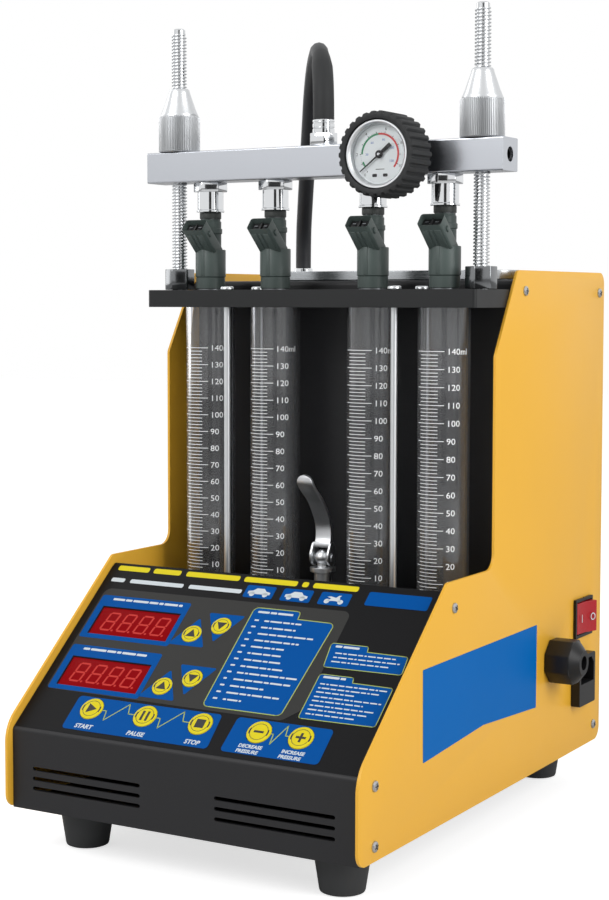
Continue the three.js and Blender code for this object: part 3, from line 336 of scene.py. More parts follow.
FILM_BLACK = printed_film("Printed film black", "0e0e10", 0.4, 0.1, 0.12)
FILM_GREY = printed_film("Printed film grey", "373736", 0.4, 0.06, 0.12)
FILM_BLUE = printed_film("Printed film blue", "0052a0", 0.45, 0.06, 0.06)
DECAL_BLUE = printed_film("Side decal blue", "0068b8", 0.45, 0.05, 0.06)
KEY_YELLOW = finish("Key film yellow", "e6d51e", 0.45, shade=0.04, relief=800, bump=0.05,
                    Specular_IOR_Level=0.2)
FILM_WHITE = finish("Printed film white", "d5dde2", 0.45, shade=0.03)
FILM_LIME = finish("Printed film lime", "a9b95c", 0.45, shade=0.03)
INK = finish("Ink black", "141416", 0.45, shade=0.05)
DIAL_WHITE = finish("Dial enamel", "ced3d5", 0.4, shade=0.03)
DIAL_GREEN = finish("Dial green", "2f7d55", 0.5, shade=0.04)
DIAL_RED = finish("Dial red", "b9302f", 0.5, shade=0.04)
TUBE_INK = finish("Graduation ink white", "f2f4f5", 0.5, shade=0.03,
                  Emission_Color=colour("ffffff"), Emission_Strength=0.12)
print("finishes:", len(bpy.data.materials))

# %% [markdown]
# Gloss tells one metal from another more than colour does. Chrome mirrors sharply, satin steel
# blurs what it mirrors, and the lock nuts are a darker steel. Drawn sheet and bar have a brushed
# grain along the way they were worked. The clamp nuts' grips are rougher than their cones, and
# darker: painted shade for the grooves of the knurl.

# %% Metals
def metal(name, paint, roughness, shade, spread, **grain):
    return finish(name, paint, roughness, metallic=1.0, shade=shade, spread=spread, **grain)


STEEL = metal("Turned steel", "b4b6b9", 0.28, 0.06, 0.1, brushed=(300, 300, 4000), bump=0.25)
NUT_STEEL = metal("Dark nut steel", "7c7e80", 0.14, 0.1, 0.06)
CLAMP_STEEL = metal("Turned clamp steel", "cfd1d3", 0.3, 0.04, 0.06)
# The grip's steel is darker than the cone's: painted shade for the grooves between the ribs.
SHADED_KNURL_STEEL = metal("Knurled grip steel with painted shade", "b2b4b6", 0.4, 0.14, 0.1, brushed=(1400, 1400, 30), bump=0.35)
BATH_STEEL = metal("Drawn stainless steel", "b4b7ba", 0.26, 0.08, 0.14, brushed=(60, 2500, 2500),
                   bump=0.15)
SATIN_STEEL = metal("Satin steel", "d4d6d8", 0.36, 0.04, 0.06)
THREAD_STEEL = metal("Rolled thread steel", "cfd1d3", 0.16, 0.06, 0.08)
CHROME = metal("Chrome plate", "dadcde", 0.08, 0.04, 0.06)
RAIL_METAL = metal("Satin aluminium", "bfc2c8", 0.24, 0.03, 0.04, brushed=(30, 3000, 3000), bump=0.02)
ALUMINIUM = finish("Brushed aluminium", "b2b4b8", 0.34, metallic=0.95, shade=0.05, spread=0.1,
                   brushed=(30, 3000, 3000), bump=0.12)
INJECTOR_METAL = finish("Injector steel", "7c7f82", 0.35, metallic=0.9, shade=0.08,
                        brushed=(400, 400, 3000))
print("finishes:", len(bpy.data.materials))

# %% [markdown]
# The tubes are clear glass. The gauge's pane bends light much less than glass does, so that it
# mirrors little and the dial behind it stays easy to read. The displays are lit weakly behind a red
# filter: filter and figures both get a little light of their own and hardly any shine.

# %% Glass and displays
GLASS = finish("Tube glass", "e6e7e9", 0.03, shade=0.01, spread=0.03,
               Transmission_Weight=0.96, IOR=1.47)
PANE = finish("Dial glass", "ffffff", 0.02, shade=0.01, spread=0.01,
              Transmission_Weight=1.0, IOR=1.1)
DISPLAY_DARK = finish("Display filter", "820a10", 0.4, shade=0.1, Specular_IOR_Level=0.02,
                      Emission_Color=colour("a00810"), Emission_Strength=0.16)
DISPLAY_LIT = finish("Lit segments", "c03a34", 0.4, shade=0.02, Specular_IOR_Level=0.1,
                     Emission_Color=colour("ff3a34"), Emission_Strength=0.07)
print("finishes:", len(bpy.data.materials))

# %% [markdown]
# A finished piece is a mesh that already stands in its place, with its object at the origin. `add`
# makes that object, rides it on its body and gives it its finish. Edges that turn sharply stay
# crisp, and the rest shade smoothly. The helpers after it move a mesh by a matrix, to a place or by
# millimetres, and join several meshes in one.

# %% Adding a piece
CRISP_FROM = math.radians(35)


def add(name, bm, body, material, replaces=()):
    mesh = bpy.data.meshes.new(name)
    bm.to_mesh(mesh)
    bm.free()
    mesh.shade_smooth()
    mesh.set_sharp_from_angle(angle=CRISP_FROM)
    mesh.materials.append(material)
    piece = bpy.data.objects.new(name, mesh)
    bpy.context.scene.collection.objects.link(piece)
    if body:
        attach(piece, body)
    if replaces:
        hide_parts(*replaces)
    return piece


def move(bm, matrix):
    bmesh.ops.transform(bm, matrix=matrix, verts=bm.verts[:])
    return bm


def stand(bm, place):
    return move(bm, Matrix.Translation(place))


def shift(bm, x, y, z=0.0):
    return stand(bm, (x * MM, y * MM, z * MM))


def merged(*parts):
    whole = bmesh.new()
    for part in parts:
        mesh = bpy.data.meshes.new("part")
        part.to_mesh(mesh)
        part.free()
        whole.from_mesh(mesh)
        bpy.data.meshes.remove(mesh)
    return whole


print("crisp edges from", round(math.degrees(CRISP_FROM)), "degrees")

# %% [markdown]
# The hose is a fixed length of black rubber. It leaves the rail straight up, bends over the back
# and goes down into the deck. Its line is the same list of points as the part's own, and a smooth
# curve through them is swept with a round section. Blender's curves do that well: the bevel is the
# section, and each point has its own radius. A thicker sleeve covers the end on the rail and
# tapers off.

# %% Hose line
HOSE_RADIUS = 6.5 * MM
SLEEVE_RADIUS = 7.9 * MM
SLEEVE_STRAIGHT, SLEEVE_TAPER = 20, 5
TAPER_STEP = 0.28 * MM
CORD_SIDES = 16
STRETCH_STEPS = 5
HOSE_POINTS = [at(*point) for point in (
    (0, 205.0, 520.1), (0, 205.0, 522.6), (-1.0, 206.5, 536.7), (-4.0, 211.1, 549.9),
    (-8.8, 218.3, 561.1), (-15.1, 227.7, 569.8), (-22.4, 238.6, 575.2), (-30.2, 250.4, 577.1),
    (-39.4, 264.3, 575.9), (-48.4, 277.8, 572.3), (-57.1, 290.8, 566.3), (-65.2, 303.0, 558.2),
    (-72.5, 314.0, 548.0), (-78.9, 323.7, 536.0), (-86.0, 334.3, 520.8), (-93.1, 345.0, 505.6),
    (-100.1, 355.6, 490.4), (-107.2, 366.2, 475.2), (-114.2, 376.8, 460.0), (-118.5, 383.2, 448.4),
    (-121.1, 387.2, 435.3), (-122.0, 388.5, 421.5), (-122.0, 388.5, 414.3),
)]


def through(points, steps):
    """Points on a smooth curve through the given ones, `steps` to each stretch."""
    ends = [2 * points[0] - points[1], *points, 2 * points[-1] - points[-2]]
    line = []
    for a, b, c, d in zip(ends, ends[1:], ends[2:], ends[3:]):
        for i in range(steps):
            t = i / steps
            line.append(0.5 * (2 * b + (c - a) * t + (2 * a - 5 * b + 4 * c - d) * t * t
                               + (3 * b - a - 3 * c + d) * t ** 3))
    return line + [points[-1]]


def meshed(curve):
    """The mesh that Blender makes of a curve or of letters, for bmesh to work on."""
    holder = bpy.data.objects.new(curve.name, curve)
    bpy.context.scene.collection.objects.link(holder)
    made = bpy.data.meshes.new_from_object(holder.evaluated_get(bpy.context.evaluated_depsgraph_get()))
    bm = bmesh.new()
    bm.from_mesh(made)
    bpy.data.objects.remove(holder)
    bpy.data.meshes.remove(made)
    return bm


def swept(line, radii):
    """A closed round tube along a line, with a radius for each of its points."""
    curve = bpy.data.curves.new("line", "CURVE")
    curve.dimensions = "3D"
    curve.bevel_depth = 1.0
    curve.bevel_resolution = CORD_SIDES // 4
    curve.use_fill_caps = True
    spline = curve.splines.new("POLY")
    spline.points.add(len(line) - 1)
    for point, place, radius in zip(spline.points, line, radii):
        point.co = (*place, 1)
        point.radius = radius
    bm = meshed(curve)
    bmesh.ops.remove_doubles(bm, verts=bm.verts[:], dist=1e-6)
    bmesh.ops.recalc_face_normals(bm, faces=bm.faces[:])
    return bm


hose_line = through(HOSE_POINTS, STRETCH_STEPS)
hose = add("black_hose", swept(hose_line, [HOSE_RADIUS] * len(hose_line)), None,
           HOSE_RUBBER, ["hose"])
sleeve_line = hose_line[1:1 + SLEEVE_STRAIGHT + SLEEVE_TAPER]
taper = [SLEEVE_RADIUS - step * TAPER_STEP for step in range(1, SLEEVE_TAPER + 1)]
sleeve = add("hose_sleeve", swept(sleeve_line, [SLEEVE_RADIUS] * SLEEVE_STRAIGHT + taper), None,
             RUBBER)
for piece in (hose, sleeve):
    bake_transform(piece)

# %% [markdown]
# What the camera, glass and metal see behind the machine is white, while the light that reaches
# the machine stays level. The world does both: it is bright for rays that come from the camera, a
# mirror or a glass, and dimmer for all others. The plain view transform keeps that white white.

# %% World
SKY_LIGHT = 0.38


def background_strength(tree, level):
    path = tree.nodes.new("ShaderNodeLightPath").outputs
    seen = calculate(tree, "MAXIMUM", path["Is Camera Ray"], path["Is Transmission Ray"])
    seen = calculate(tree, "MAXIMUM", seen, path["Is Glossy Ray"])
    return calculate(tree, "MULTIPLY_ADD", seen, 1.0 - level, level)


world = bpy.data.worlds.new("Studio")
world.use_nodes = True
bpy.context.scene.world = world
sky = world.node_tree.nodes["Background"].inputs
sky["Color"].default_value = (1, 1, 1, 1)
feed(world.node_tree, sky["Strength"], background_strength(world.node_tree, SKY_LIGHT))
bpy.context.scene.view_settings.view_transform = "Standard"
print("world light:", SKY_LIGHT)

# %% [markdown]
# The floor is a plain pale sheet. It glows for the camera alone, which makes it as white as the
# background and keeps the soft shadow under the feet.

# %% Floor
FLOOR_SIZE, FLOOR_DROP = 6, 0.0005
FLOOR_GLOW = 0.68


def flat_sheet(name, size, material):
    bm = bmesh.new()
    bmesh.ops.create_grid(bm, x_segments=1, y_segments=1, size=size)
    mesh = bpy.data.meshes.new(name)
    bm.to_mesh(mesh)
    bm.free()
    mesh.materials.append(material)
    sheet = bpy.data.objects.new(name, mesh)
    bpy.context.scene.collection.objects.link(sheet)
    return sheet


floor_finish = plain_finish("Pale floor", Base_Color=(0.8, 0.8, 0.8, 1), Roughness=0.85,
                            Specular_IOR_Level=0.1, Emission_Color=(1, 1, 1, 1))
floor_tree = floor_finish.node_tree
for_camera = floor_tree.nodes.new("ShaderNodeLightPath").outputs["Is Camera Ray"]
feed(floor_tree, floor_tree.nodes["Principled BSDF"].inputs["Emission Strength"],
     calculate(floor_tree, "MULTIPLY", for_camera, FLOOR_GLOW))
floor = flat_sheet("Floor", FLOOR_SIZE, floor_finish)
floor.location.z = -FLOOR_DROP
print("floor:", 2 * FLOOR_SIZE, "m wide")

# %% [markdown]
# The light is soft: one large lamp over the front and one to each side. Two dark cards stand beside
# the camera's view for metal to mirror, as a photographer would place them. They are hidden from
# every other ray, so they shade nothing.

# %% Lamps and cards
CARD_FINISH = plain_finish("Dark card", Base_Color=(0.02, 0.02, 0.02, 1))


def lamp(name, place, aim, size, watts):
    light = bpy.data.lights.new(name, "AREA")
    light.shape = "RECTANGLE"
    light.size, light.size_y = size
    light.energy = watts
    holder = bpy.data.objects.new(name, light)
    holder.location = Vector(place)
    holder.rotation_euler = (Vector(aim) - Vector(place)).to_track_quat("-Z", "Y").to_euler()
    bpy.context.scene.collection.objects.link(holder)


def dark_card(name, place, size):
    card = flat_sheet(name, 0.5, CARD_FINISH)
    card.scale = (*size, 1)
    card.location = Vector(place)
    card.rotation_euler = (-card.location).to_track_quat("Z", "Y").to_euler()
    card.visible_camera = card.visible_diffuse = False
    card.visible_shadow = card.visible_transmission = False


lamp("Front lamp", (-0.7, -1.9, 1.7), (0, 0, 0.3), (1.2, 1.2), 24)
lamp("Right lamp", (2.0, -0.3, 1.2), (0, 0, 0.25), (1.0, 1.6), 25)
lamp("Left lamp", (-1.9, 0.2, 1.0), (0, 0, 0.35), (0.6, 1.6), 5)
dark_card("Right card", (2.4, -0.15, 0.5), (0.35, 1.6))
dark_card("Camera side card", (1.15, -2.25, 0.5), (0.95, 1.6))

# %% [markdown]
# A sheet-metal part has the right shape in the frame already, but its edges are perfectly sharp,
# and no real edge is. `softened` copies such a node, merges its loose triangles, joins the flat
# ones, and rolls the sharp edges over. This keeps one source for the shape. Weighted normals keep
# the flat faces flat beside the rolled edges.

# %% Softened copies
SHARP_EDGE = math.radians(38)
FLAT_WITHIN = math.radians(0.5)


def copy_of(node):
    bm = bmesh.new()
    bm.from_mesh(frame["nodes"][node].data)
    bmesh.ops.remove_doubles(bm, verts=bm.verts[:], dist=2e-6)
    bmesh.ops.dissolve_limit(bm, angle_limit=FLAT_WITHIN, verts=bm.verts[:], edges=bm.edges[:])
    return bm


def roll_edges(bm, width):
    """Rolls the sharp edges over by a width in millimetres."""
    edges = [e for e in bm.edges if len(e.link_faces) == 2 and e.calc_face_angle() > SHARP_EDGE]
    bmesh.ops.bevel(bm, geom=edges, offset=width * MM, offset_type="OFFSET", segments=2,
                    profile=0.5, affect="EDGES", clamp_overlap=True, material=-1)
    return bm


def body_of(node):
    bodies = frame["record"]["behaviour"]["bodies"]
    return next(body for body, nodes in bodies.items() if node in nodes)


def softened(node, material, width):
    bm = roll_edges(copy_of(node), width)
    piece = add(f"{node}_finished", bm, body_of(node), material, [node])
    weigh = piece.modifiers.new("Flat faces first", "WEIGHTED_NORMAL")
    weigh.keep_sharp = True
    weigh.weight = 100


SOFTENED = [
    ("front_fascia", BLACK, 0.25), ("base_pan", BLACK, 0.3), ("rear_panel", BLACK, 0.3),
    ("upper_housing", BLACK, 0.3), ("tube_base", PLATE, 0.5), ("tube_top_plate", PLATE, 0.5),
    ("fuel_rail", RAIL_METAL, 0.4), ("fluid_pump", BLACK_PLASTIC, 0.6),
    ("ultrasonic_tank", BATH_STEEL, 0.5), ("power_inlet", BLACK_PLASTIC, 0.4),
    ("rocker_bezel", BLACK_PLASTIC, 0.4), ("rocker_button", RED_PLASTIC, 0.5),
]
for node, material, width in SOFTENED:
    softened(node, material, width)
print("softened nodes:", len(SOFTENED))

# %% [markdown]
# Sheets, printed films and small blocks all start as a flat outline in millimetres. `outline`
# rounds each corner by its own radius. `plate` draws one closed loop out to a thickness. `film`
# does the same for a loop with holes through it: the loops are laid down as edges and the space
# between them is filled.

# %% Flat shapes
def outline(corners, steps=6):
    """Points of a closed outline in X and Y. A corner's third number rounds it."""
    points = []
    for i, (x, y, radius) in enumerate(corners):
        here = Vector((x, y))
        if not radius:
            points.append(here)
            continue
        a = (Vector(corners[i - 1][:2]) - here).normalized()
        b = (Vector(corners[(i + 1) % len(corners)][:2]) - here).normalized()
        half = a.angle(b) / 2
        centre = here + (a + b).normalized() * radius / math.sin(half)
        first = here + a * radius / math.tan(half) - centre
        last = here + b * radius / math.tan(half) - centre
        for step in range(steps + 1):
            points.append(centre + first.slerp(last, step / steps).normalized() * radius)
    return points


def circle(x, y, radius, steps=40):
    angles = [2 * math.pi * i / steps for i in range(steps)]
    return [(x + radius * math.cos(a), y + radius * math.sin(a)) for a in angles]


def rectangle(x0, x1, y0, y1, radius=0.0, steps=6):
    return outline([(x0, y0, radius), (x1, y0, radius), (x1, y1, radius), (x0, y1, radius)], steps)


def laid(bm, loop):
    return [bm.verts.new((x * MM, y * MM, 0)) for x, y in loop]


def drawn_out(bm, thick):
    grown = bmesh.ops.extrude_face_region(bm, geom=bm.faces[:])
    lifted = [item for item in grown["geom"] if isinstance(item, bmesh.types.BMVert)]
    bmesh.ops.translate(bm, verts=lifted, vec=(0, 0, thick * MM))
    bmesh.ops.recalc_face_normals(bm, faces=bm.faces[:])
    return bm


def plate(loop, thick):
    bm = bmesh.new()
    bm.faces.new(laid(bm, loop))
    return drawn_out(bm, thick)


def film(loop, thick, holes=()):
    bm = bmesh.new()
    for edge_loop in (loop, *holes):
        verts = laid(bm, edge_loop)
        for pair in zip(verts, verts[1:] + verts[:1]):
            bm.edges.new(pair)
    bmesh.ops.triangle_fill(bm, use_beauty=True, use_dissolve=False, edges=bm.edges[:])
    return drawn_out(bm, thick)


print("points of a rounded square:", len(rectangle(0, 10, 0, 10, 2)))

# %% [markdown]
# The side panels are laser-cut yellow sheets with large soft corners. They are drawn anew from
# eight corners, so that each can be rounded finely. The right one has openings for the rocker
# switch, the mains inlet and the signal gland. `ACROSS` stands a flat shape up to face the right.

# %% Side panels
SHEET = 2
PANEL_FACE = 140
PANEL = outline([
    (0, 31, 10), (417, 31, 10), (417, 408.5, 9), (242.5, 408.5, 6),
    (205, 347, 6), (205, 195.5, 11), (128, 195.5, 6), (0, 90, 26),
], 8)
SWITCH_HOLE = rectangle(359.7, 392.3, 122.2, 149.8)
INLET_HOLE = rectangle(356.65, 385.75, 69.7, 105.3)
GLAND_PLACE = (315.5, 111.5)
GLAND_HOLE = circle(*GLAND_PLACE, 11.3)
ACROSS = Matrix(((0, 0, 1, 0), (1, 0, 0, 0), (0, 1, 0, 0), (0, 0, 0, 1)))


def side_panel(side, x, holes=()):
    bm = roll_edges(film(PANEL, SHEET, holes), 0.35)
    move(bm, Matrix.Translation(at(x, 0, 0)) @ ACROSS)
    add(f"{side}_panel_finished", bm, "casing", YELLOW, [f"{side}_side_panel"])


side_panel("left", -PANEL_FACE)
side_panel("right", PANEL_FACE - SHEET, [SWITCH_HOLE, INLET_HOLE, GLAND_HOLE])
print("side panels:", len(PANEL), "points round each")

# %% [markdown]
# Everything round is turned: half of its outline, as radius and height, is spun about its axis. A
# nut is a circle with few corners, drawn up, with its edges rolled.

# %% Turned shapes
UP = Vector((0, 0, 1))


def facing(axis):
    return UP.rotation_difference(Vector(axis)).to_matrix().to_4x4()


def turned(profile, place=(0, 0, 0), steps=48, axis=None):
    """Spins a closed or axis-to-axis outline of (radius, height) in millimetres."""
    bm = bmesh.new()
    verts = [bm.verts.new((r * MM, 0, z * MM)) for r, z in profile]
    edges = [bm.edges.new(pair) for pair in zip(verts, verts[1:])]
    if profile[0][0] and profile[-1][0]:
        edges.append(bm.edges.new((verts[-1], verts[0])))
    bmesh.ops.spin(bm, geom=verts + edges, cent=(0, 0, 0), axis=UP, angle=2 * math.pi,
                   steps=steps, use_merge=True)
    bmesh.ops.remove_doubles(bm, verts=bm.verts[:], dist=1e-7)
    bmesh.ops.recalc_face_normals(bm, faces=bm.faces[:])
    if axis:
        move(bm, facing(axis))
    return stand(bm, place)


def nut_block(flats, height, place, rolled, sides=6, turn=math.pi / 6):
    """A block with flat sides, measured across its flats, with rolled edges."""
    bm = bmesh.new()
    bmesh.ops.create_circle(bm, cap_ends=True, segments=sides,
                            radius=flats * MM / 2 / math.cos(math.pi / sides),
                            matrix=Matrix.Rotation(turn, 4, "Z"))
    return stand(roll_edges(drawn_out(bm, height), rolled), place)


print("turning is about", tuple(UP))

# %% [markdown]
# The tubes carry white graduations every 2 ml, longer at 10 ml. The marks are thin curved strips
# just outside the glass, each spun a little way round the tube's axis. The figures are letters made
# into a mesh, which is then wrapped round the same surface. They face the person at the front
# corner.

# %% Graduations
TUBE_RADIUS, TUBE_BORE = 19.0, 16.0
ZERO_MARK, MARK_STEP = 171.0, 12.8 / 5
MARK_COUNT, MARKS_TO_FIGURE, ML_PER_MARK = 71, 5, 2
MARKS_FACE = math.radians(-90 + 24)
LONG_MARK, SHORT_MARK = (-69, 2), (-58, -12)
FIGURES_START = 7
MARK_INK, MARK_WIDTH = 0.06, 0.45


def strip(radius, start, end, z):
    """A printed mark that runs round a tube from one angle to another."""
    bm = bmesh.new()
    corners = [(radius, z), (radius + MARK_INK, z), (radius + MARK_INK, z + MARK_WIDTH),
               (radius, z + MARK_WIDTH)]
    verts = [bm.verts.new((r * MM, 0, h * MM)) for r, h in corners]
    face = bm.faces.new(verts)
    bmesh.ops.rotate(bm, verts=verts, cent=(0, 0, 0), matrix=Matrix.Rotation(start, 3, "Z"))
    bmesh.ops.spin(bm, geom=[face], cent=(0, 0, 0), axis=UP, angle=end - start,
                   steps=max(2, round((end - start) / math.radians(9))), use_merge=False)
    bmesh.ops.remove_doubles(bm, verts=bm.verts[:], dist=1e-7)
    bmesh.ops.recalc_face_normals(bm, faces=bm.faces[:])
    return bm


def letters(text, size, thick=MARK_INK, lean=0.0, bold=0.0):
    """Flat letters as a mesh, lying in X and Y from their left end."""
    curve = bpy.data.curves.new("letters", "FONT")
    curve.body = text
    curve.size = size * MM
    curve.shear = lean
    curve.offset = bold * MM
    curve.resolution_u = 3
    curve.extrude = thick * MM / 2
    bm = meshed(curve)
    bmesh.ops.remove_doubles(bm, verts=bm.verts[:], dist=1e-7)
    return bm


def wrap(bm, radius, angle, z):
    """Wraps flat letters round an upright tube, their left end at an angle."""
    for vert in bm.verts:
        turn = angle + vert.co.x / (radius * MM)
        out = radius * MM + vert.co.z
        vert.co = (out * math.cos(turn), out * math.sin(turn), z * MM + vert.co.y)
    return bm


def graduations():
    parts = []
    for mark in range(MARK_COUNT):
        z = ZERO_MARK + mark * MARK_STEP
        has_figure = mark % MARKS_TO_FIGURE == 0
        reach = LONG_MARK if has_figure else SHORT_MARK
        start, end = (MARKS_FACE + math.radians(angle) for angle in reach)
        parts.append(strip(TUBE_RADIUS + 0.02, start, end, z))
        if has_figure and mark:
            unit = "ml" if mark == MARK_COUNT - 1 else ""
            label = move(letters(f"{mark * ML_PER_MARK}{unit}", 6.2), Matrix.Diagonal((1.12, 1, 1, 1)))
            parts.append(wrap(label, TUBE_RADIUS + 0.05, MARKS_FACE + math.radians(FIGURES_START), z - 2.0))
    return merged(*parts)


marks = graduations()
print("graduations:", len(marks.faces), "faces on each tube")

# %% [markdown]
# The measuring tubes are plain glass, open at both ends. They have a real wall, since light only
# bends as it should in glass with an inner and an outer face.

# %% Measuring tubes
TUBE_PLACES = [-99.5, -41.5, 41.5, 99.5]
TUBE_BOTTOM, TUBE_TOP = 161.6, 385.2
TUBE_WALL = [(TUBE_BORE, TUBE_BOTTOM), (TUBE_RADIUS, TUBE_BOTTOM), (TUBE_RADIUS, TUBE_TOP),
             (TUBE_BORE, TUBE_TOP)]
for number, x in enumerate(TUBE_PLACES, 1):
    place = at(x, TUBE_LINE, 0)
    add(f"glass_tube_{number}", turned(TUBE_WALL, place, 72), "casing", GLASS,
        [f"measuring_tube_{number}"])
    add(f"graduations_{number}", stand(marks.copy(), place), "casing", TUBE_INK)
marks.free()
print("tubes:", len(TUBE_PLACES))

# %% [markdown]
# The posts are threaded along their whole length. A thread is a small ridge that is spun round many
# times while it climbs, laid over a plain core. A lock nut holds each post on the plate.

# %% Threaded posts
PLATE_TOP = 394.5
POST_BOTTOM, POST_TOP = 382, 595.5
POST_CORE, POST_CREST = 4.75, 5.95
POST_PLACES = [("left", -128), ("right", 128)]
THREAD_PITCH = 2.5
THREAD_STEPS = 20
SEATING_GAP = 0.3


def threaded(core, crest, bottom, top):
    rod = turned([(0, bottom), (core, bottom), (core, top - 1), (core - 1, top), (0, top)], steps=24)
    bm = bmesh.new()
    half = THREAD_PITCH * 0.36
    ridge = [(core - 0.3, -half), (crest - 0.2, -0.5), (crest, -0.15), (crest, 0.15),
             (crest - 0.2, 0.5), (core - 0.3, half)]
    face = bm.faces.new([bm.verts.new((r * MM, 0, (bottom + 1.5 + h) * MM)) for r, h in ridge])
    turns = int((top - bottom - 4) / THREAD_PITCH)
    bmesh.ops.spin(bm, geom=[face], cent=(0, 0, 0), axis=UP, angle=2 * math.pi * turns,
                   dvec=(0, 0, THREAD_PITCH / THREAD_STEPS * MM), steps=THREAD_STEPS * turns,
                   use_merge=False)
    bmesh.ops.remove_doubles(bm, verts=bm.verts[:], dist=1e-7)
    bmesh.ops.recalc_face_normals(bm, faces=bm.faces[:])
    return merged(rod, bm)


for side, x in POST_PLACES:
    post = stand(threaded(POST_CORE, POST_CREST, POST_BOTTOM, POST_TOP), at(x, TUBE_LINE, 0))
    add(f"{side}_post_thread", post, "casing", THREAD_STEEL, [f"{side}_threaded_post"])
    nut = nut_block(20, 16, at(x, TUBE_LINE, PLATE_TOP + SEATING_GAP), 0.6, turn=0)
    add(f"{side}_lock_nut_finished", nut, "casing", NUT_STEEL, [f"{side}_lock_nut"])
print("posts:", len(POST_PLACES))

# %% [markdown]
# A clamp nut on each post locks the rail. Its cone is turned, and its grip is knurled. The knurl
# is a round face drawn up in steps, and at each step the face swells where a rib runs. The ribs are
# real shapes, so that they also show along the outline, where a bump wouldn't.

# %% Clamp nuts
RAIL_TOP = 500.5
RIB_STEEPNESS, RIB_FULLNESS = 2.4, 0.6
GRIP_RIBS = 72
CLAMP_GRIP = [(0, 14.9, 0), (0.5, 15.3, 0.3), (0.8, 15.4, 0.55), (26.9, 15.4, 0.55), (27.3, 15.3, 0.3),
              (27.6, 14.9, 0)]
CLAMP_CONE = [(0, 26), (14.8, 26), (14.9, 28.0), (14.2, 29.6), (12.2, 34.5), (8.4, 45.6), (7.8, 47.9),
              (7.0, 48.8), (0, 48.8)]


def ribbed(levels, ribs, around):
    """Draws a round face up through (height, radius, rib) levels, with ribs that run along it."""
    bm = bmesh.new()
    bmesh.ops.create_circle(bm, cap_ends=True, segments=around, radius=1)
    face = bm.faces[:][0]
    for step, (height, radius, rib) in enumerate(levels):
        if step:
            grown = bmesh.ops.extrude_face_region(bm, geom=[face])
            if step > 1:
                bmesh.ops.delete(bm, geom=[face], context="FACES_ONLY")
            face = next(item for item in grown["geom"] if isinstance(item, bmesh.types.BMFace))
        for vert in face.verts:
            angle = math.atan2(vert.co.y, vert.co.x)
            wave = max(-1.0, min(1.0, RIB_STEEPNESS * math.cos(ribs * angle) + RIB_FULLNESS))
            out = radius + rib * (0.5 + 0.5 * wave)
            vert.co = (out * math.cos(angle) * MM, out * math.sin(angle) * MM, height * MM)
    bmesh.ops.recalc_face_normals(bm, faces=bm.faces[:])
    return bm


for side, x in POST_PLACES:
    seat = at(x, TUBE_LINE, RAIL_TOP + SEATING_GAP)
    add(f"{side}_clamp_nut_cone", turned(CLAMP_CONE, seat, 64), f"{side}_nut",
        CLAMP_STEEL, [f"{side}_clamp_nut"])
    grip = stand(ribbed(CLAMP_GRIP, GRIP_RIBS, 6 * GRIP_RIBS), seat)
    add(f"{side}_clamp_nut_grip", grip, f"{side}_nut", SHADED_KNURL_STEEL)
print("clamp nuts:", GRIP_RIBS, "ribs on each grip")

# %% [markdown]
# Each adapter under the rail is a chromed hexagon with a round cup. The injector's top ends in the
# cup, sealed by a rubber ring.

# %% Adapters
ADAPTER_TOP, ADAPTER_BOTTOM = 476.7, 454.0
HEXAGON_HEIGHT = 7.2
CUP = [
    (0, ADAPTER_TOP - 6.8), (10.0, ADAPTER_TOP - 6.8), (10.0, ADAPTER_BOTTOM + 2.0),
    (10.7, ADAPTER_BOTTOM + 1.5), (10.7, ADAPTER_BOTTOM + 0.4), (10.3, ADAPTER_BOTTOM),
    (8.3, ADAPTER_BOTTOM), (8.3, ADAPTER_BOTTOM + 8), (0, ADAPTER_BOTTOM + 8),
]
NECK = [(0, ADAPTER_TOP - 0.5), (6, ADAPTER_TOP - 0.5), (6, ADAPTER_TOP + 8), (0, ADAPTER_TOP + 8)]
for number, x in enumerate(TUBE_PLACES, 1):
    place = at(x, TUBE_LINE, 0)
    flats = nut_block(22.6, HEXAGON_HEIGHT, at(x, TUBE_LINE, ADAPTER_TOP - HEXAGON_HEIGHT), 0.7, turn=0)
    adapter = merged(turned(CUP, place, 56), flats, turned(NECK, place, 32))
    add(f"adapter_{number}_finished", adapter, "rail", CHROME, [f"rail_adapter_{number}"])
print("adapters:", len(TUBE_PLACES))

# %% [markdown]
# An injector's electrical socket stands out to the front and up. It is a rounded block with its
# mouth pushed in, a wall between two chambers, a blade in each, a ribbed face and a catch on each
# side. A black block fills the mouth to a little below its rim, and the wall is black too: painted
# shade for the dark inside the mouth, whose plastic is really the same grey. It is drawn upright
# first and tilted when it is whole.

# %% Injector sockets
SOCKET_TILT = math.radians(42)
SOCKET_REACH = 31.5
SOCKET_WIDTH, SOCKET_THICKNESS = 18.6, 11.0
SOCKET_DEPTH, SOCKET_WALL = 12.0, 1.7
SOCKET_PIVOT = 422.6
GRIP_PADS = [(-7.4, -2.6), (-1.0, 1.0), (2.6, 7.4)]
BLADE_PLACES = (-4.0, 4.0)


def block(x0, x1, y0, y1, z0, z1, radius=0.4, rolled=0.0):
    """A block between two corners in millimetres, its upright edges rounded."""
    bm = plate(rectangle(x0, x1, y0, y1, radius, 3), z1 - z0)
    if rolled:
        roll_edges(bm, rolled)
    return shift(bm, 0, 0, z0)


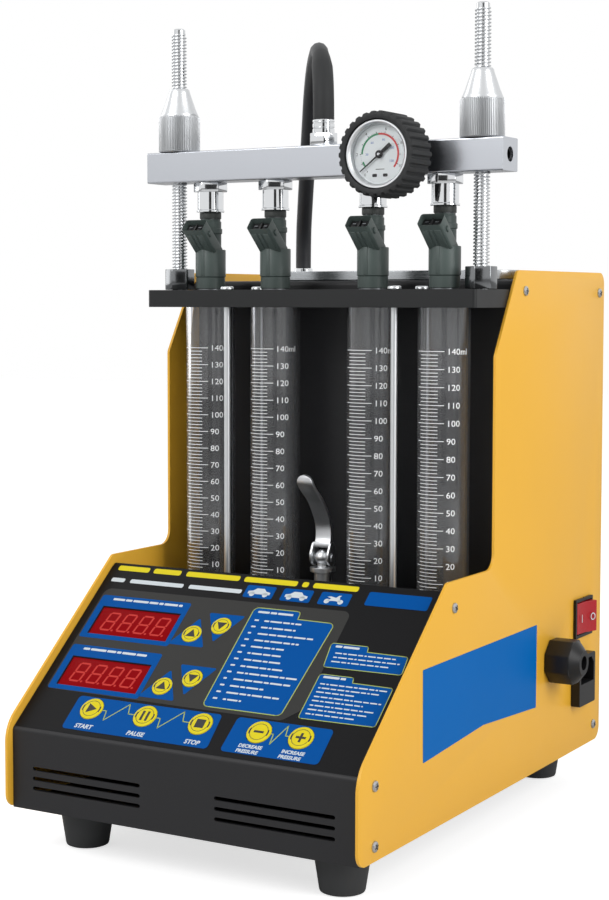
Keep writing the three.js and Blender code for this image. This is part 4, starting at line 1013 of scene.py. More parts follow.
def socket_block():
    w, t = SOCKET_WIDTH / 2, SOCKET_THICKNESS / 2
    bm = plate(rectangle(-w, w, -t, t, 2, 5), SOCKET_REACH)
    mouth = max(bm.faces, key=lambda face: face.calc_center_median().z)
    bmesh.ops.inset_region(bm, faces=[mouth], thickness=SOCKET_WALL * MM, use_even_offset=True)
    bmesh.ops.translate(bm, verts=mouth.verts[:], vec=(0, 0, -SOCKET_DEPTH * MM))
    roll_edges(bm, 0.3)
    pads = [block(x0, x1, -t - 0.5, -t + 0.8, 8, SOCKET_REACH - 5.5, 0.3, 0.2) for x0, x1 in GRIP_PADS]
    catches = [block(x - 1.0, x + 1.0, -1.6, 1.6, SOCKET_REACH - 12, SOCKET_REACH - 8, 0.6, 0.3)
               for x in (-w, w)]
    inner_w, inner_t = w - SOCKET_WALL - 0.02, t - SOCKET_WALL - 0.02
    deep = SOCKET_REACH - SOCKET_DEPTH
    # The black block in the mouth and the black wall are painted shade, since the inside is really grey
    # plastic in shadow.
    painted_shade_liner = block(-inner_w, inner_w, -inner_t, inner_t, deep - 0.4, SOCKET_REACH - 4.2, 0.4, 0.1)
    wall = block(-0.6, 0.6, -inner_t, inner_t, deep, SOCKET_REACH - 2.6, 0.2, 0.1)
    blades = [block(x - 1.3, x + 1.3, -0.4, 0.4, deep, SOCKET_REACH - 2.8, 0.1) for x in BLADE_PLACES]
    turn = Matrix.Rotation(math.pi / 2 - SOCKET_TILT, 4, "X")
    return [move(merged(*parts), turn) for parts in ((bm, *pads, *catches), (painted_shade_liner, wall), blades)]


print("sockets reach out", SOCKET_REACH, "mm")

# %% [markdown]
# An injector is a stack of turned steps in grey plastic. Its steel end sits in the plate, and its
# steel crown and the rubber ring reach up into the adapter. Each material is a piece of its own.

# %% Injectors
INJECTOR_BODY = [
    (0, 395.5), (10.8, 395.5), (11.2, 395.9), (11.2, 403.9), (10.9, 404.2), (11.3, 404.5), (11.65, 404.9),
    (11.65, 424.9), (11.3, 425.4), (9.1, 425.6), (8.25, 426.6), (8.25, 437.4), (9.0, 438.0), (9.0, 441.2),
    (8.25, 441.8), (8.25, 446.8), (7.6, 447.4), (7.6, 448.6), (0, 448.6),
]
INJECTOR_END = [
    (0, 382.5), (3.6, 382.5), (4, 382.9), (4, 385), (6.1, 385), (6.5, 385.4), (6.5, 388.5), (9.9, 388.5),
    (10.4, 389.0), (10.4, 395.7), (0, 395.7),
]
INJECTOR_CROWN = [(0, 448), (7.2, 448), (7.6, 448.6), (7.6, 461.4), (0, 461.4)]
SEAL = [(7.4, 448.9), (8.2, 449.1), (8.3, 449.8), (8.3, 453.2), (8.1, 453.9), (7.4, 454)]
for number, x in enumerate(TUBE_PLACES, 1):
    place = at(x, TUBE_LINE, 0)
    key = stand(block(-1.6, 1.6, -12.0, -10.5, 405.5, 425.3, 0.3, 0.2), place)
    socket, painted_shade_liner, blades = [stand(part, at(x, TUBE_LINE, SOCKET_PIVOT)) for part in socket_block()]
    body = merged(turned(INJECTOR_BODY, place, 56), socket, key)
    steel = merged(turned(INJECTOR_END, place, 40), turned(INJECTOR_CROWN, place, 40), blades)
    add(f"injector_{number}_body", body, "rail", INJECTOR_GREY, [f"injector_{number}"])
    add(f"injector_{number}_steel", steel, "rail", INJECTOR_METAL)
    # The black liner in the socket's mouth is painted shade.
    add(f"injector_{number}_insert", painted_shade_liner, "rail", INK)
    add(f"injector_{number}_seal", turned(SEAL, place, 40), "rail", SEAL_RUBBER)
print("injectors:", len(TUBE_PLACES))

# %% [markdown]
# Four tie rods hold the plate over the base block of the tubes. Each is turned, with a domed cap
# and a small dimple on top.

# %% Tie rods
BASE_TOP = 165.3
ROD_ACROSS, ROD_DEEP = 70.5, 22.3
ROD = [
    (0, BASE_TOP - 7.7), (2.5, BASE_TOP - 7.7), (2.5, 394.8), (4.8, 394.8), (5, 395.0), (5, 396.2),
    (4.6, 396.8), (3.6, 397.2), (1.8, 397.2), (1.6, 396.0), (0, 396.0),
]
for side, x in (("left", -ROD_ACROSS), ("right", ROD_ACROSS)):
    for end, y in (("front", TUBE_LINE - ROD_DEEP), ("rear", TUBE_LINE + ROD_DEEP)):
        add(f"{end}_{side}_rod_finished", turned(ROD, at(x, y, 0), 36), "casing", SATIN_STEEL,
            [f"{end}_{side}_tie_rod"])
print("tie rods stand", 2 * ROD_ACROSS, "mm apart")

# %% [markdown]
# The drain valve on the base block is turned too. A ball and a cross pin carry its lever.

# %% Drain valve
PIVOT = 194.0
BALL_RADIUS = 6
VALVE = [
    (0, 157.6), (6, 157.6), (6, 165.6), (8.8, 165.6), (9, 165.9), (9, 169.0), (8.6, 169.3), (6.5, 169.3),
    (6.5, 183.1), (9.2, 183.1), (9.6, 183.5), (9.6, 186.3), (9.2, 186.7), (4.2, 186.7), (4.2, PIVOT),
    (0, PIVOT),
]
BALL_ANGLES = [math.pi * i / 16 for i in range(17)]
BALL = [(BALL_RADIUS * math.sin(a), -BALL_RADIUS * math.cos(a)) for a in BALL_ANGLES]
PIN = [(0, -9.2), (2.8, -9.2), (3.2, -8.8), (3.2, -8.0), (2, -8.0), (2, 8.0), (3.2, 8.0), (3.2, 8.8),
       (2.8, 9.2), (0, 9.2)]
pivot = at(0, TUBE_LINE, PIVOT)
valve = merged(turned(VALVE, at(0, TUBE_LINE, 0)), turned(BALL, pivot, 40), turned(PIN, pivot, 32, (1, 0, 0)))
add("drain_valve_finished", valve, "casing", SATIN_STEEL, ["drain_valve_body"])
print("drain valve's pivot at", tuple(round(v, 4) for v in pivot))

# %% [markdown]
# The drain lever is a bent steel strap with a rounded tip. It was pressed from strip, so its
# section stays the same while its line bends. Rounded oblong rings stand across that line, get
# narrower towards the tip and are joined in one skin. Two cheeks grip the ball, with a bridge
# between them.

# %% Drain lever
LEVER_LINE = [(0, 10.2), (1.7, 14.8), (1.1, 24.5), (-3.4, 33.5), (-11.8, 44.5), (-21.8, 52.9),
              (-26.6, 58.7), (-28, 64.5)]
LEVER_HALF, LEVER_THICK = 6.6, 2.6
TIP_HALF = 0.6
CHEEK = outline([(-6.4, -6.4, 6.3), (6.4, -6.4, 6.3), (6.4, 3, 5), (2.2, 11.2, 2), (-2.2, 11.2, 2),
                 (-6.4, 3, 5)], 8)
CHEEK_THICK, CHEEK_PLACES = 2.1, (-8.3, 6.2)
BRIDGE = rectangle(-7.6, 7.6, -2.2, 2.2, 0.4, 8)
BRIDGE_THICK, BRIDGE_PLACE = 4.0, 7.3


def lofted(rings):
    """A closed skin over rings of equally many points."""
    bm = bmesh.new()
    loops = [[bm.verts.new(point) for point in ring] for ring in rings]
    for low_ring, high_ring in zip(loops, loops[1:]):
        for i, vert in enumerate(low_ring):
            after = (i + 1) % len(low_ring)
            bm.faces.new((vert, low_ring[after], high_ring[after], high_ring[i]))
    bm.faces.new(loops[0])
    bm.faces.new(loops[-1])
    bmesh.ops.recalc_face_normals(bm, faces=bm.faces[:])
    return bm


def strap_rings():
    """Rounded oblong rings along the lever's line, narrowing to a round tip."""
    line = through([Vector((0, y * MM, z * MM)) for y, z in LEVER_LINE], STRETCH_STEPS)
    tip = line[-1].z - LEVER_HALF * MM
    rings = []
    for i, middle in enumerate(line):
        along = (line[min(i + 1, len(line) - 1)] - line[max(i - 1, 0)]).normalized()
        out = Vector((0, -along.z, along.y))
        past = max(0.0, middle.z - tip) / (LEVER_HALF * MM)
        half = max(TIP_HALF, LEVER_HALF * math.sqrt(max(0.0, 1 - past * past)))
        section = rectangle(-half, half, -LEVER_THICK / 2, LEVER_THICK / 2, 0.5, 3)
        rings.append([middle + Vector((x * MM, 0, 0)) + out * y * MM for x, y in section])
    return rings


cheeks = [move(roll_edges(plate(CHEEK, CHEEK_THICK), 0.7), Matrix.Translation((x * MM, 0, 0)) @ ACROSS)
          for x in CHEEK_PLACES]
bridge = shift(roll_edges(plate(BRIDGE, BRIDGE_THICK), 0.9), 0, 0, BRIDGE_PLACE)
lever = stand(merged(lofted(strap_rings()), bridge, *cheeks), pivot)
add("drain_lever_finished", lever, "lever", SATIN_STEEL, ["drain_lever"])
print("drain lever:", 2 * LEVER_HALF, "mm wide")

# %% [markdown]
# The gauge is built facing up and then turned to the front. Its rubber boot is ribbed in the same
# way as the clamp nuts' grips, with broader ribs, and it ends in a hollow for the case.

# %% Gauge boot
RAIL_MIDDLE = 488.75
GAUGE = Matrix.Translation(at(70.5, 183, RAIL_MIDDLE)) @ Matrix.Rotation(math.pi / 2, 4, "X")
BOOT_RIBS = 30
BOOT = [(0.9, 27.2, 0), (1.3, 28.0, 0.6), (2.4, 28.2, 1.9), (28.6, 28.2, 1.9), (30.4, 28.0, 1.2),
        (31.1, 27.6, 0), (31.1, 25.3, 0), (30.7, 24.6, 0), (4.0, 24.6, 0)]
boot = move(ribbed(BOOT, BOOT_RIBS, 16 * BOOT_RIBS), GAUGE)
add("gauge_boot_finished", boot, "rail", RUBBER, ["gauge_boot"])
print("gauge boot:", BOOT_RIBS, "ribs")

# %% [markdown]
# Inside the boot sits a satin steel case with a white dial. The case and the stem that carries it
# are turned. The dial is a disc under a thin pane.

# %% Gauge case
DIAL_TOP = 23.2
DIAL_RADIUS = 20.8
CASE = [(0, 4.2), (23.7, 4.2), (24.2, 4.7), (24.2, 28.6), (23.6, 29.2), (22.6, 29.2), (21.4, 28.2),
        (20.9, 27.2), (20.9, 22.6), (0, 22.6)]
STEM = [(0, -16.7), (5, -16.7), (5, -8.7), (6.2, -8.7), (6.2, 4.4), (0, 4.4)]


def on_dial(bm, above=0.0):
    return move(bm, GAUGE @ Matrix.Translation((0, 0, (DIAL_TOP + above) * MM)))


case = merged(turned(CASE, steps=72), turned(STEM, steps=40))
add("gauge_case_finished", move(case, GAUGE), "rail", SATIN_STEEL, ["gauge_case"])
disc = turned([(0, -0.7), (DIAL_RADIUS, -0.7), (DIAL_RADIUS, 0), (0, 0)], steps=72)
add("dial", on_dial(disc), "rail", DIAL_WHITE)
pane = turned([(0, 27.0), (DIAL_RADIUS, 27.0), (DIAL_RADIUS, 27.6), (0, 27.6)], steps=72)
add("dial_pane", move(pane, GAUGE), "rail", PANE)
print("dial:", 2 * DIAL_RADIUS, "mm wide")

# %% [markdown]
# The dial is printed with ticks and figures from 0 to 10, a smaller row of figures inside them, and
# a green and a red arc. Each print is a very thin sheet on the enamel, so it stays sharp at any
# distance, which a picture on the dial wouldn't.

# %% Dial print
DIAL_START, DIAL_SWEEP = 230.0, -257.5
DIAL_INK = 0.08
TICK_COUNT, TICKS_TO_FIGURE = 50, 5
SHORT_TICK, LONG_TICK = (15.5, 0.2), (16.1, 0.5)
ARC_INNER, ARC_OUTER = 13.6, 14.9
GREEN_ARCS = [(178, 95), (215, 200)]
RED_ARC = (95, -40)


def arc_band(inner, outer, start, end, thick=DIAL_INK):
    """A flat printed arc between two angles in degrees."""
    steps = max(3, round(abs(end - start) / 5))
    angles = [math.radians(start + (end - start) * i / steps) for i in range(steps + 1)]
    rim = [(outer * math.cos(a), outer * math.sin(a)) for a in angles]
    bore = [(inner * math.cos(a), inner * math.sin(a)) for a in reversed(angles)]
    return film(rim + bore, thick)


def dial_angle(share):
    return math.radians(DIAL_START + DIAL_SWEEP * share)


def tick(share, outer, width):
    mark = film(rectangle(ARC_OUTER, outer, -width / 2, width / 2), DIAL_INK)
    return move(mark, Matrix.Rotation(dial_angle(share), 4, "Z"))


def dial_figure(number, words, size, radius):
    label = letters(words, size)
    near, far = min(v.co.x for v in label.verts), max(v.co.x for v in label.verts)
    turn = dial_angle(number / 10)
    place = (radius * math.cos(turn) * MM - (near + far) / 2, (radius * math.sin(turn) - size * 0.36) * MM, 0)
    return stand(label, place)


dial_marks = []
for i in range(TICK_COUNT + 1):
    reach, width = SHORT_TICK if i % TICKS_TO_FIGURE else LONG_TICK
    dial_marks.append(tick(i / TICK_COUNT, reach, width))
dial_marks += [dial_figure(number, str(number), 3.0, 18.2) for number in range(0, 11, 2)]
dial_marks += [film(rectangle(x - 1.8, x + 1.8, -15.7, -13.5, 0.6), DIAL_INK) for x in (-4.2, 4.2)]
dial_marks.append(film(rectangle(-3.4, 3.4, -10.6, -10.1, 0.1), DIAL_INK))
add("dial_marks", on_dial(merged(*dial_marks)), "rail", INK)
inner_figures = merged(*[dial_figure(number, str(15 * number), 2.3, 10.4) for number in range(2, 11, 2)])
add("dial_inner_numbers", on_dial(inner_figures), "rail", FILM_BLUE)
green = merged(*[arc_band(ARC_INNER, ARC_OUTER, start, end) for start, end in GREEN_ARCS])
add("dial_green_arc", on_dial(green), "rail", DIAL_GREEN)
add("dial_red_arc", on_dial(arc_band(ARC_INNER, ARC_OUTER, *RED_ARC)), "rail", DIAL_RED)
print("dial marks:", len(dial_marks))

# %% [markdown]
# The needle is a thin pointer with a hub, and turns on a chromed spindle. It is drawn lying to the
# right and turned to where it rests.

# %% Gauge needle
NEEDLE_LENGTH, NEEDLE_TAIL, NEEDLE_THICK = 19.0, 11.0, 0.7
NEEDLE_REST = math.radians(218)
NEEDLE_LIFT = 1.2
UPPER_EDGE = [(NEEDLE_LENGTH, 0.25), (-2, 0.6), (-3.4, 1.1), (-NEEDLE_TAIL, 1.4)]
LOWER_EDGE = [(x, -y) for x, y in reversed(UPPER_EDGE)]
pointer = film(LOWER_EDGE + UPPER_EDGE, NEEDLE_THICK, [circle(0, 0, 0.5, 12)])
hub = turned([(1.3, 0), (2.8, 0), (2.8, 0.9), (2.4, 1.2), (1.3, 1.2)], steps=32)
needle = move(merged(pointer, hub), Matrix.Rotation(NEEDLE_REST, 4, "Z"))
add("needle_finished", on_dial(needle, NEEDLE_LIFT), "needle", INK, ["gauge_needle"])
spindle = turned([(0, 0), (1, 0), (1, 3.0), (0.7, 3.4), (0, 3.4)], steps=24)
add("dial_spindle", on_dial(spindle), "rail", CHROME)
print("needle:", NEEDLE_LENGTH + NEEDLE_TAIL, "mm long")

# %% [markdown]
# The hose is held by a hexagon nut and a ferrule at each end, both chromed. The rail's end port is
# closed by a black plug.

# %% Hose fittings and rail plug
DECK_TOP = 401.7
HOSE_FOOT = (-122, 388.5)
RAIL_END, PLUG_DEPTH = 149.5, 9
FERRULE = [(0, 9), (8.2, 9), (8.2, 12.4), (7.7, 12.8), (7.7, 13.4), (8.2, 13.8), (8.2, 16.4), (7.7, 16.8),
           (7.7, 17.4), (8.2, 17.8), (8.2, 18.8), (7.8, 19.3), (0, 19.3)]
DECK_FERRULE = [(0, 6), (8, 6), (8, 11.8), (7.6, 12.3), (0, 12.3)]


def hose_fitting(across, deep, top, shank, depth, nut, ferrule):
    """A shank below a face, a nut (flats, height, rolled edge) on it, and a ferrule over that."""
    return merged(
        turned([(0, -depth), (shank, -depth), (shank, 4), (0, 4)], at(across, deep, top), 40),
        nut_block(nut[0], nut[1], at(across, deep, top + SEATING_GAP), nut[2]),
        turned(ferrule, at(across, deep, top), 48),
    )


fitting = hose_fitting(0, TUBE_LINE, RAIL_TOP, 6, 7.7, (20, 9, 0.6), FERRULE)
add("hose_fitting_finished", fitting, "rail", CHROME, ["hose_fitting"])
bulkhead = hose_fitting(*HOSE_FOOT, DECK_TOP, 7, 9.7, (19, 6, 0.5), DECK_FERRULE)
add("hose_bulkhead_finished", bulkhead, "casing", CHROME, ["hose_bulkhead"])
plug = turned([(0, 0), (5.2, 0), (5.2, 7), (4.6, 7.4), (3.4, 7.4), (3.4, 4.4), (0, 4.4)],
              at(RAIL_END - PLUG_DEPTH, TUBE_LINE, RAIL_MIDDLE), 40, (1, 0, 0))
add("rail_end_plug", plug, "rail", BLACK_PLASTIC)
print("hose ends at", HOSE_FOOT, "mm on the deck")

# %% [markdown]
# The feet are rubber cones, each with a hollow for the screw that holds it.

# %% Feet
FOOT = [
    (0, 5), (5, 5), (5, 0.4), (5.4, 0), (14.1, 0), (15.0, 0.4), (15.4, 1.3), (19.8, 29.6), (19.6, 30.4),
    (19.1, 30.7), (0, 30.7),
]
FOOT_SCREW = [(0, 4), (4.2, 4), (4.2, 3.0), (3.6, 2.2), (0, 1.9)]
FOOT_ROWS = [("front", 103.5, 47), ("rear", 97, 391)]
for end, across, y in FOOT_ROWS:
    for side, x in (("left", -across), ("right", across)):
        add(f"{end}_{side}_foot_finished", turned(FOOT, at(x, y, 0), 64), "casing", FOOT_RUBBER,
            [f"{end}_{side}_foot"])
        add(f"{end}_{side}_foot_screw", turned(FOOT_SCREW, at(x, y, 1), 32), "casing",
            STEEL)
print("feet:", 2 * len(FOOT_ROWS))

# %% [markdown]
# The signal gland is an eight-sided plastic nut with a tapered nose, on a round spigot that goes
# through the side panel. It is built facing up and turned to the right.

# %% Gland
gland = merged(
    nut_block(33, 19.4, (0, 0, SEATING_GAP * MM), 0.9, 8, math.pi / 8),
    turned([(0, 12), (16.2, 12), (16.2, 19.7), (15.6, 20.4), (10.2, 25.2), (9.4, 25.9), (5.5, 25.9),
            (5.5, 14), (0, 14)], steps=64),
    turned([(0, -13.8), (10.8, -13.8), (10.8, 2), (0, 2)]),
)
move(gland, Matrix.Translation(at(PANEL_FACE, *GLAND_PLACE)) @ Matrix.Rotation(math.pi / 2, 4, "Y"))
add("gland_finished", gland, "casing", BLACK_PLASTIC, ["signal_gland"])
print("gland at", GLAND_PLACE)

# %% [markdown]
# The transducer under the bath shakes it. It is a stack of turned metal blocks, widest where it
# meets the bath. It is hidden in the casing, so one turned outline is enough.

# %% Transducer
TANK_FLOOR, TRANSDUCER_HEIGHT = 313.0, 57
transducer = turned([(0, 0), (19, 0), (19, 16), (16, 16.3), (16, 28), (24, 52), (24, TRANSDUCER_HEIGHT),
                     (0, TRANSDUCER_HEIGHT)], at(22, 298, TANK_FLOOR - 1.8 - TRANSDUCER_HEIGHT), 56)
add("transducer_finished", transducer, "casing", ALUMINIUM, ["ultrasonic_transducer"])
print("transducer:", TRANSDUCER_HEIGHT, "mm high")

# %% [markdown]
# The control panel lies on the fascia's slope. Places on it are given across and up along the
# slope, from the lower edge's middle. Nine keys and two display windows are laid out here, and
# each film and piece on the panel follows them.

# %% Panel layout
SLOPE = Matrix.Translation(at(0, 6, 87.2)) @ Matrix.Rotation(math.atan2(195.5 - 90, 128), 4, "X")
SMALL_KEY, LARGE_KEY = 7.5, 8.9
LARGE_ROW = 25
KEYS = [
    ("upper_up", -38, 100.2, SMALL_KEY, "up"), ("upper_down", -18, 110, SMALL_KEY, "down"),
    ("lower_up", -38, 51.8, SMALL_KEY, "up"), ("lower_down", -18, 61.6, SMALL_KEY, "down"),
    ("start", -83, LARGE_ROW, LARGE_KEY, "play"), ("pause", -38.1, LARGE_ROW, LARGE_KEY, "bars"),
    ("stop", 6.8, LARGE_ROW, LARGE_KEY, "square"), ("pressure_down", 52.8, LARGE_ROW, LARGE_KEY, "minus"),
    ("pressure_up", 84.6, LARGE_ROW, LARGE_KEY, "plus"),
]
DISPLAY_LINES = (104, 55.6)
WINDOWS = [(-124.3, -55.7, up - 13.3, up + 13.3) for up in DISPLAY_LINES]
WINDOW_HOLES = [rectangle(*window) for window in WINDOWS]


def key_holes(*wanted):
    """Holes for some keys, by name, or for all keys of a size."""
    return [circle(x, s, radius + 0.3) for name, x, s, radius, sign in KEYS
            if name in wanted or radius in wanted]


def on_slope(height, *parts):
    return move(merged(*parts), SLOPE @ Matrix.Translation((0, 0, height * MM)))


print("keys:", len(KEYS), "windows:", len(WINDOWS))

# %% [markdown]
# The panel's films lie over one another like the real ones: black over the whole slope, grey round
# the displays, and blue fields on top. They are thin sheets with real holes for the keys and the
# windows, each a little higher than the last, so that no two lie in the same place.

# %% Films
BLACK_FILM_THICK, FILM_THICK = 0.16, 0.06
BLACK_LAYER, GREY_LAYER, BLUE_LAYER, PRINT_LAYER = 0.02, 0.18, 0.25, 0.32
FIELD = outline([(-131, 38, 4), (64, 36.5, 8), (76, 48, 8), (76, 134.6, 6), (-131, 134.6, 6)])
MENU = outline([(0.6, 40, 4), (62, 40, 4), (68, 122.5, 4), (38.5, 123, 0), (38, 130, 3), (0.6, 130, 4)])
NOTES = [
    outline([(75.2, 84.7, 2), (133.7, 85.1, 2), (132.6, 100.6, 2), (102, 101, 0), (101, 105.7, 1.5),
             (72.8, 105.7, 2)]),
    outline([(75.2, 40.5, 2), (131.9, 41.1, 2), (132.2, 73.6, 2), (102, 74, 0), (101, 78.5, 1.5),
             (75.6, 78.5, 2)]),
]
RUN_KEYS_FIELD = outline([(-98.7, 6, 3), (21, 6, 3), (19.5, 35, 3), (-98.7, 35, 3)])
PRESSURE_KEYS_FIELD = outline([(31, 6.3, 3), (105, 6.3, 3), (105, 35, 3), (32, 35, 3)])
SIGN_BOXES = (-2.5, 28.0, 58.5)
base_film = film(rectangle(-137, 137, 2.2, 160, 1), BLACK_FILM_THICK,
                 WINDOW_HOLES + key_holes(SMALL_KEY, LARGE_KEY))
add("panel_film_black", on_slope(BLACK_LAYER, base_film), "casing", FILM_BLACK)
grey_film = film(FIELD, FILM_THICK, WINDOW_HOLES + key_holes(SMALL_KEY))
add("panel_film_grey", on_slope(GREY_LAYER, grey_film), "casing", FILM_GREY)
blue = [film(shape, FILM_THICK) for shape in (MENU, *NOTES)]
blue.append(film(RUN_KEYS_FIELD, FILM_THICK, key_holes("start", "pause", "stop")))
blue.append(film(PRESSURE_KEYS_FIELD, FILM_THICK, key_holes("pressure_down", "pressure_up")))
for (x0, x1, s0, s1), hole in zip(WINDOWS, WINDOW_HOLES):
    blue.append(film(rectangle(x0 - 5.5, x1 + 4, s0 - 4, s1 + 10.5, 2), FILM_THICK, [hole]))
for name, x, s, radius, sign in KEYS:
    if radius == SMALL_KEY:
        tip = 1 if sign == "up" else -1
        corners = [(x - 15, s - tip * 11, 1), (x + 15, s - tip * 11, 1), (x, s + tip * 15, 1)]
        blue.append(film(outline(corners[::tip]), FILM_THICK, key_holes(name)))
blue += [film(rectangle(x - 12, x + 12, 138.6, 150.2, 1.5), FILM_THICK) for x in SIGN_BOXES]
blue.append(film(rectangle(82.5, 130.5, 141.5, 154, 1.5), FILM_THICK))
add("panel_film_blue", on_slope(BLUE_LAYER, *blue), "casing", FILM_BLUE)
print("blue fields:", len(blue))

# %% [markdown]
# The fine print is far too small to read in the picture, so rows of small bars stand in for it,
# each as long as a word. The title and the row under it are longer bars, one for each word.

# %% Bars for fine print
PRINT = 0.05
WORD_LENGTHS = (6.2, 3.4, 8.1, 4.6, 2.2, 7.0, 5.1)
WORD_GAP = 0.9


def bar(x0, x1, s, height):
    return film(rectangle(x0, x1, s - height / 2, s + height / 2, height / 3), PRINT)


def rows_of_words(rows, height):
    """Word-long bars that fill rows of print, from (left, right, middle) places."""
    parts = []
    for row, (left, right, s) in enumerate(rows):
        word = row
        while left < right - 1:
            end = min(right, left + WORD_LENGTHS[word % len(WORD_LENGTHS)] * height / 1.2)
            parts.append(bar(left, end, s, height))
            left, word = end + WORD_GAP, word + 1
    return parts


MENU_SHARES = [0.62, 0.58, 0.92, 0.74, 0.55, 0.56, 0.6, 0.7, 0.98, 0.94, 0.55, 0.86, 0.3]
MENU_TOP, MENU_PITCH = 118.6, 5.9
menu_rows = []
for row, share in enumerate(MENU_SHARES):
    s = MENU_TOP - row * MENU_PITCH
    menu_rows += [(5.5, 9.0, s), (13.5, 13.5 + 48 * share, s)]
note_rows = [(79, 79 + width, s) for width, s in
             [(47, 97.5), (50, 93.8), (43, 90.1), (50, 70.5), (46, 67.0), (30, 63.5), (50, 59.6), (38, 56.1),
              (48, 52.2), (44, 48.7), (36, 45.0)]]
heading_rows = [(5, 34, 126.3), (77, 96, 103.2), (79, 96, 76.4)]
window_rows = [(-119, -58, 124.5), (-119, -62, 76.2)]
white = []
for rows, height in ((menu_rows, 1.4), (note_rows, 1.0), (window_rows, 2.0), (heading_rows, 1.8)):
    white += rows_of_words(rows, height)
white += [bar(x0, x1, 143.2, 3.8) for x0, x1 in ((-131, -119), (-114, -67), (-62, -17))]
title = [bar(x0, x1, 155.2, 4.8) for x0, x1 in
         ((-131, -103), (-99, -75), (-70, -24), (-20, 24), (28, 33), (37, 73))]
add("panel_print_yellow", on_slope(GREY_LAYER + 0.02, *title), "casing", KEY_YELLOW)
print("bars:", len(white) + len(title))

# %% [markdown]
# The words beside the keys can be read, so they are letters, leaning and bold as on the panel. The
# three signs of vehicles are flat shapes on round wheels.

# %% Words and signs
WORD_STYLES = [
    (4.9, 0.15, 0.16, [("START", -89, 8.1), ("PAUSE", -45.4, 8.1), ("STOP", 1.6, 8.1)]),
    (3.8, 0.1, 0.14, [("DECREASE", 42.6, 11.6), ("PRESSURE", 42.4, 7.4), ("INCREASE", 75.4, 11.6),
                      ("PRESSURE", 74.6, 7.4)]),
]
CAR = [(-9, -2), (9, -2), (9, 0.2), (5.4, 1.0), (3, 3.4), (-3, 3.4), (-5.6, 1.0), (-9, 0.4)]
BIKE = [(-6, -2.4), (-1.6, -1.6), (1.4, -1.6), (5.4, -2.4), (3.4, 2.2), (4.4, 3.6), (2.6, 3.6), (0.6, 1.4),
        (-3.4, 2.4), (-6.4, 1.8), (-2.8, 0.6)]
WHEELS_APART, WHEEL_RADIUS = 10.8, 2.1
for size, lean, bold, places in WORD_STYLES:
    white += [shift(letters(words, size, PRINT, lean, bold), x, s) for words, x, s in places]
for x, shape in zip(SIGN_BOXES, (CAR, CAR, BIKE)):
    white.append(shift(film(shape, PRINT), x, 144.2))
    white += [film(circle(x + side * WHEELS_APART / 2, 142.0, WHEEL_RADIUS, 20), PRINT) for side in (-1, 1)]
add("panel_print_white", on_slope(PRINT_LAYER, *white), "casing", FILM_WHITE)
print("words:", sum(len(style[-1]) for style in WORD_STYLES))

# %% [markdown]
# Lime lines frame the menu and the notes and run from key to key. A line is made of one short bar
# for each stretch, since the frames are straight but for their corners.

# %% Lime lines
def ribbon(points, width):
    parts = []
    for start, end in zip(points, points[1:]):
        start, end = Vector(start), Vector(end)
        along = (end - start).normalized() * width / 2
        across = Vector((-along.y, along.x))
        parts.append(film([start - along - across, end + along - across, end + along + across,
                           start - along + across], PRINT))
    return merged(*parts)


LINE_SHARES = [(0, 0), (0.12, 0), (0.18, -8), (0.72, 8), (0.82, 0), (1, 0)]
LINE_GAP = 0.4
KEY_ACROSS = {name: x for name, x, s, radius, sign in KEYS}
JOINED_KEYS = [("start", "pause"), ("pause", "stop"), ("pressure_down", "pressure_up")]
lines = [ribbon([*shape, shape[0]], width) for shape, width in
         ((MENU, 0.7), (NOTES[0], 0.6), (NOTES[1], 0.6))]
for left, right in JOINED_KEYS:
    start, end = KEY_ACROSS[left] + LARGE_KEY + LINE_GAP, KEY_ACROSS[right] - LARGE_KEY - LINE_GAP
    stretch = [(start + share * (end - start), LARGE_ROW + rise) for share, rise in LINE_SHARES]
    lines.append(ribbon(stretch, 0.7))
add("panel_print_lime", on_slope(PRINT_LAYER, *lines), "casing", FILM_LIME)
print("lime lines:", len(lines))

# %% [markdown]
# Each key is a low yellow cap with a broken ring and a sign printed on it. The signs are drawn on a
# key of radius 1, so that one drawing serves both sizes of key.

# %% Keys
DASH = rectangle(-0.42, 0.42, -0.1, 0.1)
SIGNS = {
    "up": [[(-0.54, -0.38), (0.54, -0.38), (0, 0.52)]],
    "down": [[(-0.54, 0.38), (0, -0.52), (0.54, 0.38)]],
    "play": [[(-0.36, -0.46), (0.5, 0), (-0.36, 0.46)]],
    "bars": [rectangle(x - 0.11, x + 0.11, -0.46, 0.46) for x in (-0.23, 0.23)],
    "square": [rectangle(-0.4, 0.4, -0.4, 0.4)],
    "minus": [DASH],
    "plus": [DASH, rectangle(-0.1, 0.1, -0.42, -0.1), rectangle(-0.1, 0.1, 0.1, 0.42)],
}
KEY_TOP = 0.95
KEY_INK = 0.04


def key_cap(radius):
    return turned([(0, -3.5), (radius + 1.5, -3.5), (radius + 1.5, -2.3), (radius, -2.3), (radius, 0.5),
                   (radius - 0.15, 0.8), (radius - 0.5, KEY_TOP), (0, KEY_TOP)], steps=64)


def key_sign(radius, sign):
    parts = [film([(x * radius, y * radius) for x, y in shape], KEY_INK) for shape in SIGNS[sign]]
    parts.append(arc_band(radius * 0.71, radius * 0.75, -180, 179.9, KEY_INK))
    for middle in (0, 180):
        parts.append(arc_band(radius * 0.75, radius * 0.84, middle - 20, middle + 20, KEY_INK))
    return merged(*parts)


for name, x, s, radius, sign in KEYS:
    place = SLOPE @ Matrix.Translation((x * MM, s * MM, 0))
    add(f"{name}_key_finished", move(key_cap(radius), place), name, KEY_YELLOW,
        [f"{name}_key"])
    mark = move(key_sign(radius, sign), place @ Matrix.Translation((0, 0, KEY_TOP * MM)))
    add(f"{name}_key_sign", mark, name, INK)
print("keys:", [key[0] for key in KEYS])

# %% [markdown]
# Behind the panel a green board carries the two display modules and a switch under each key. It
# stands on four posts.

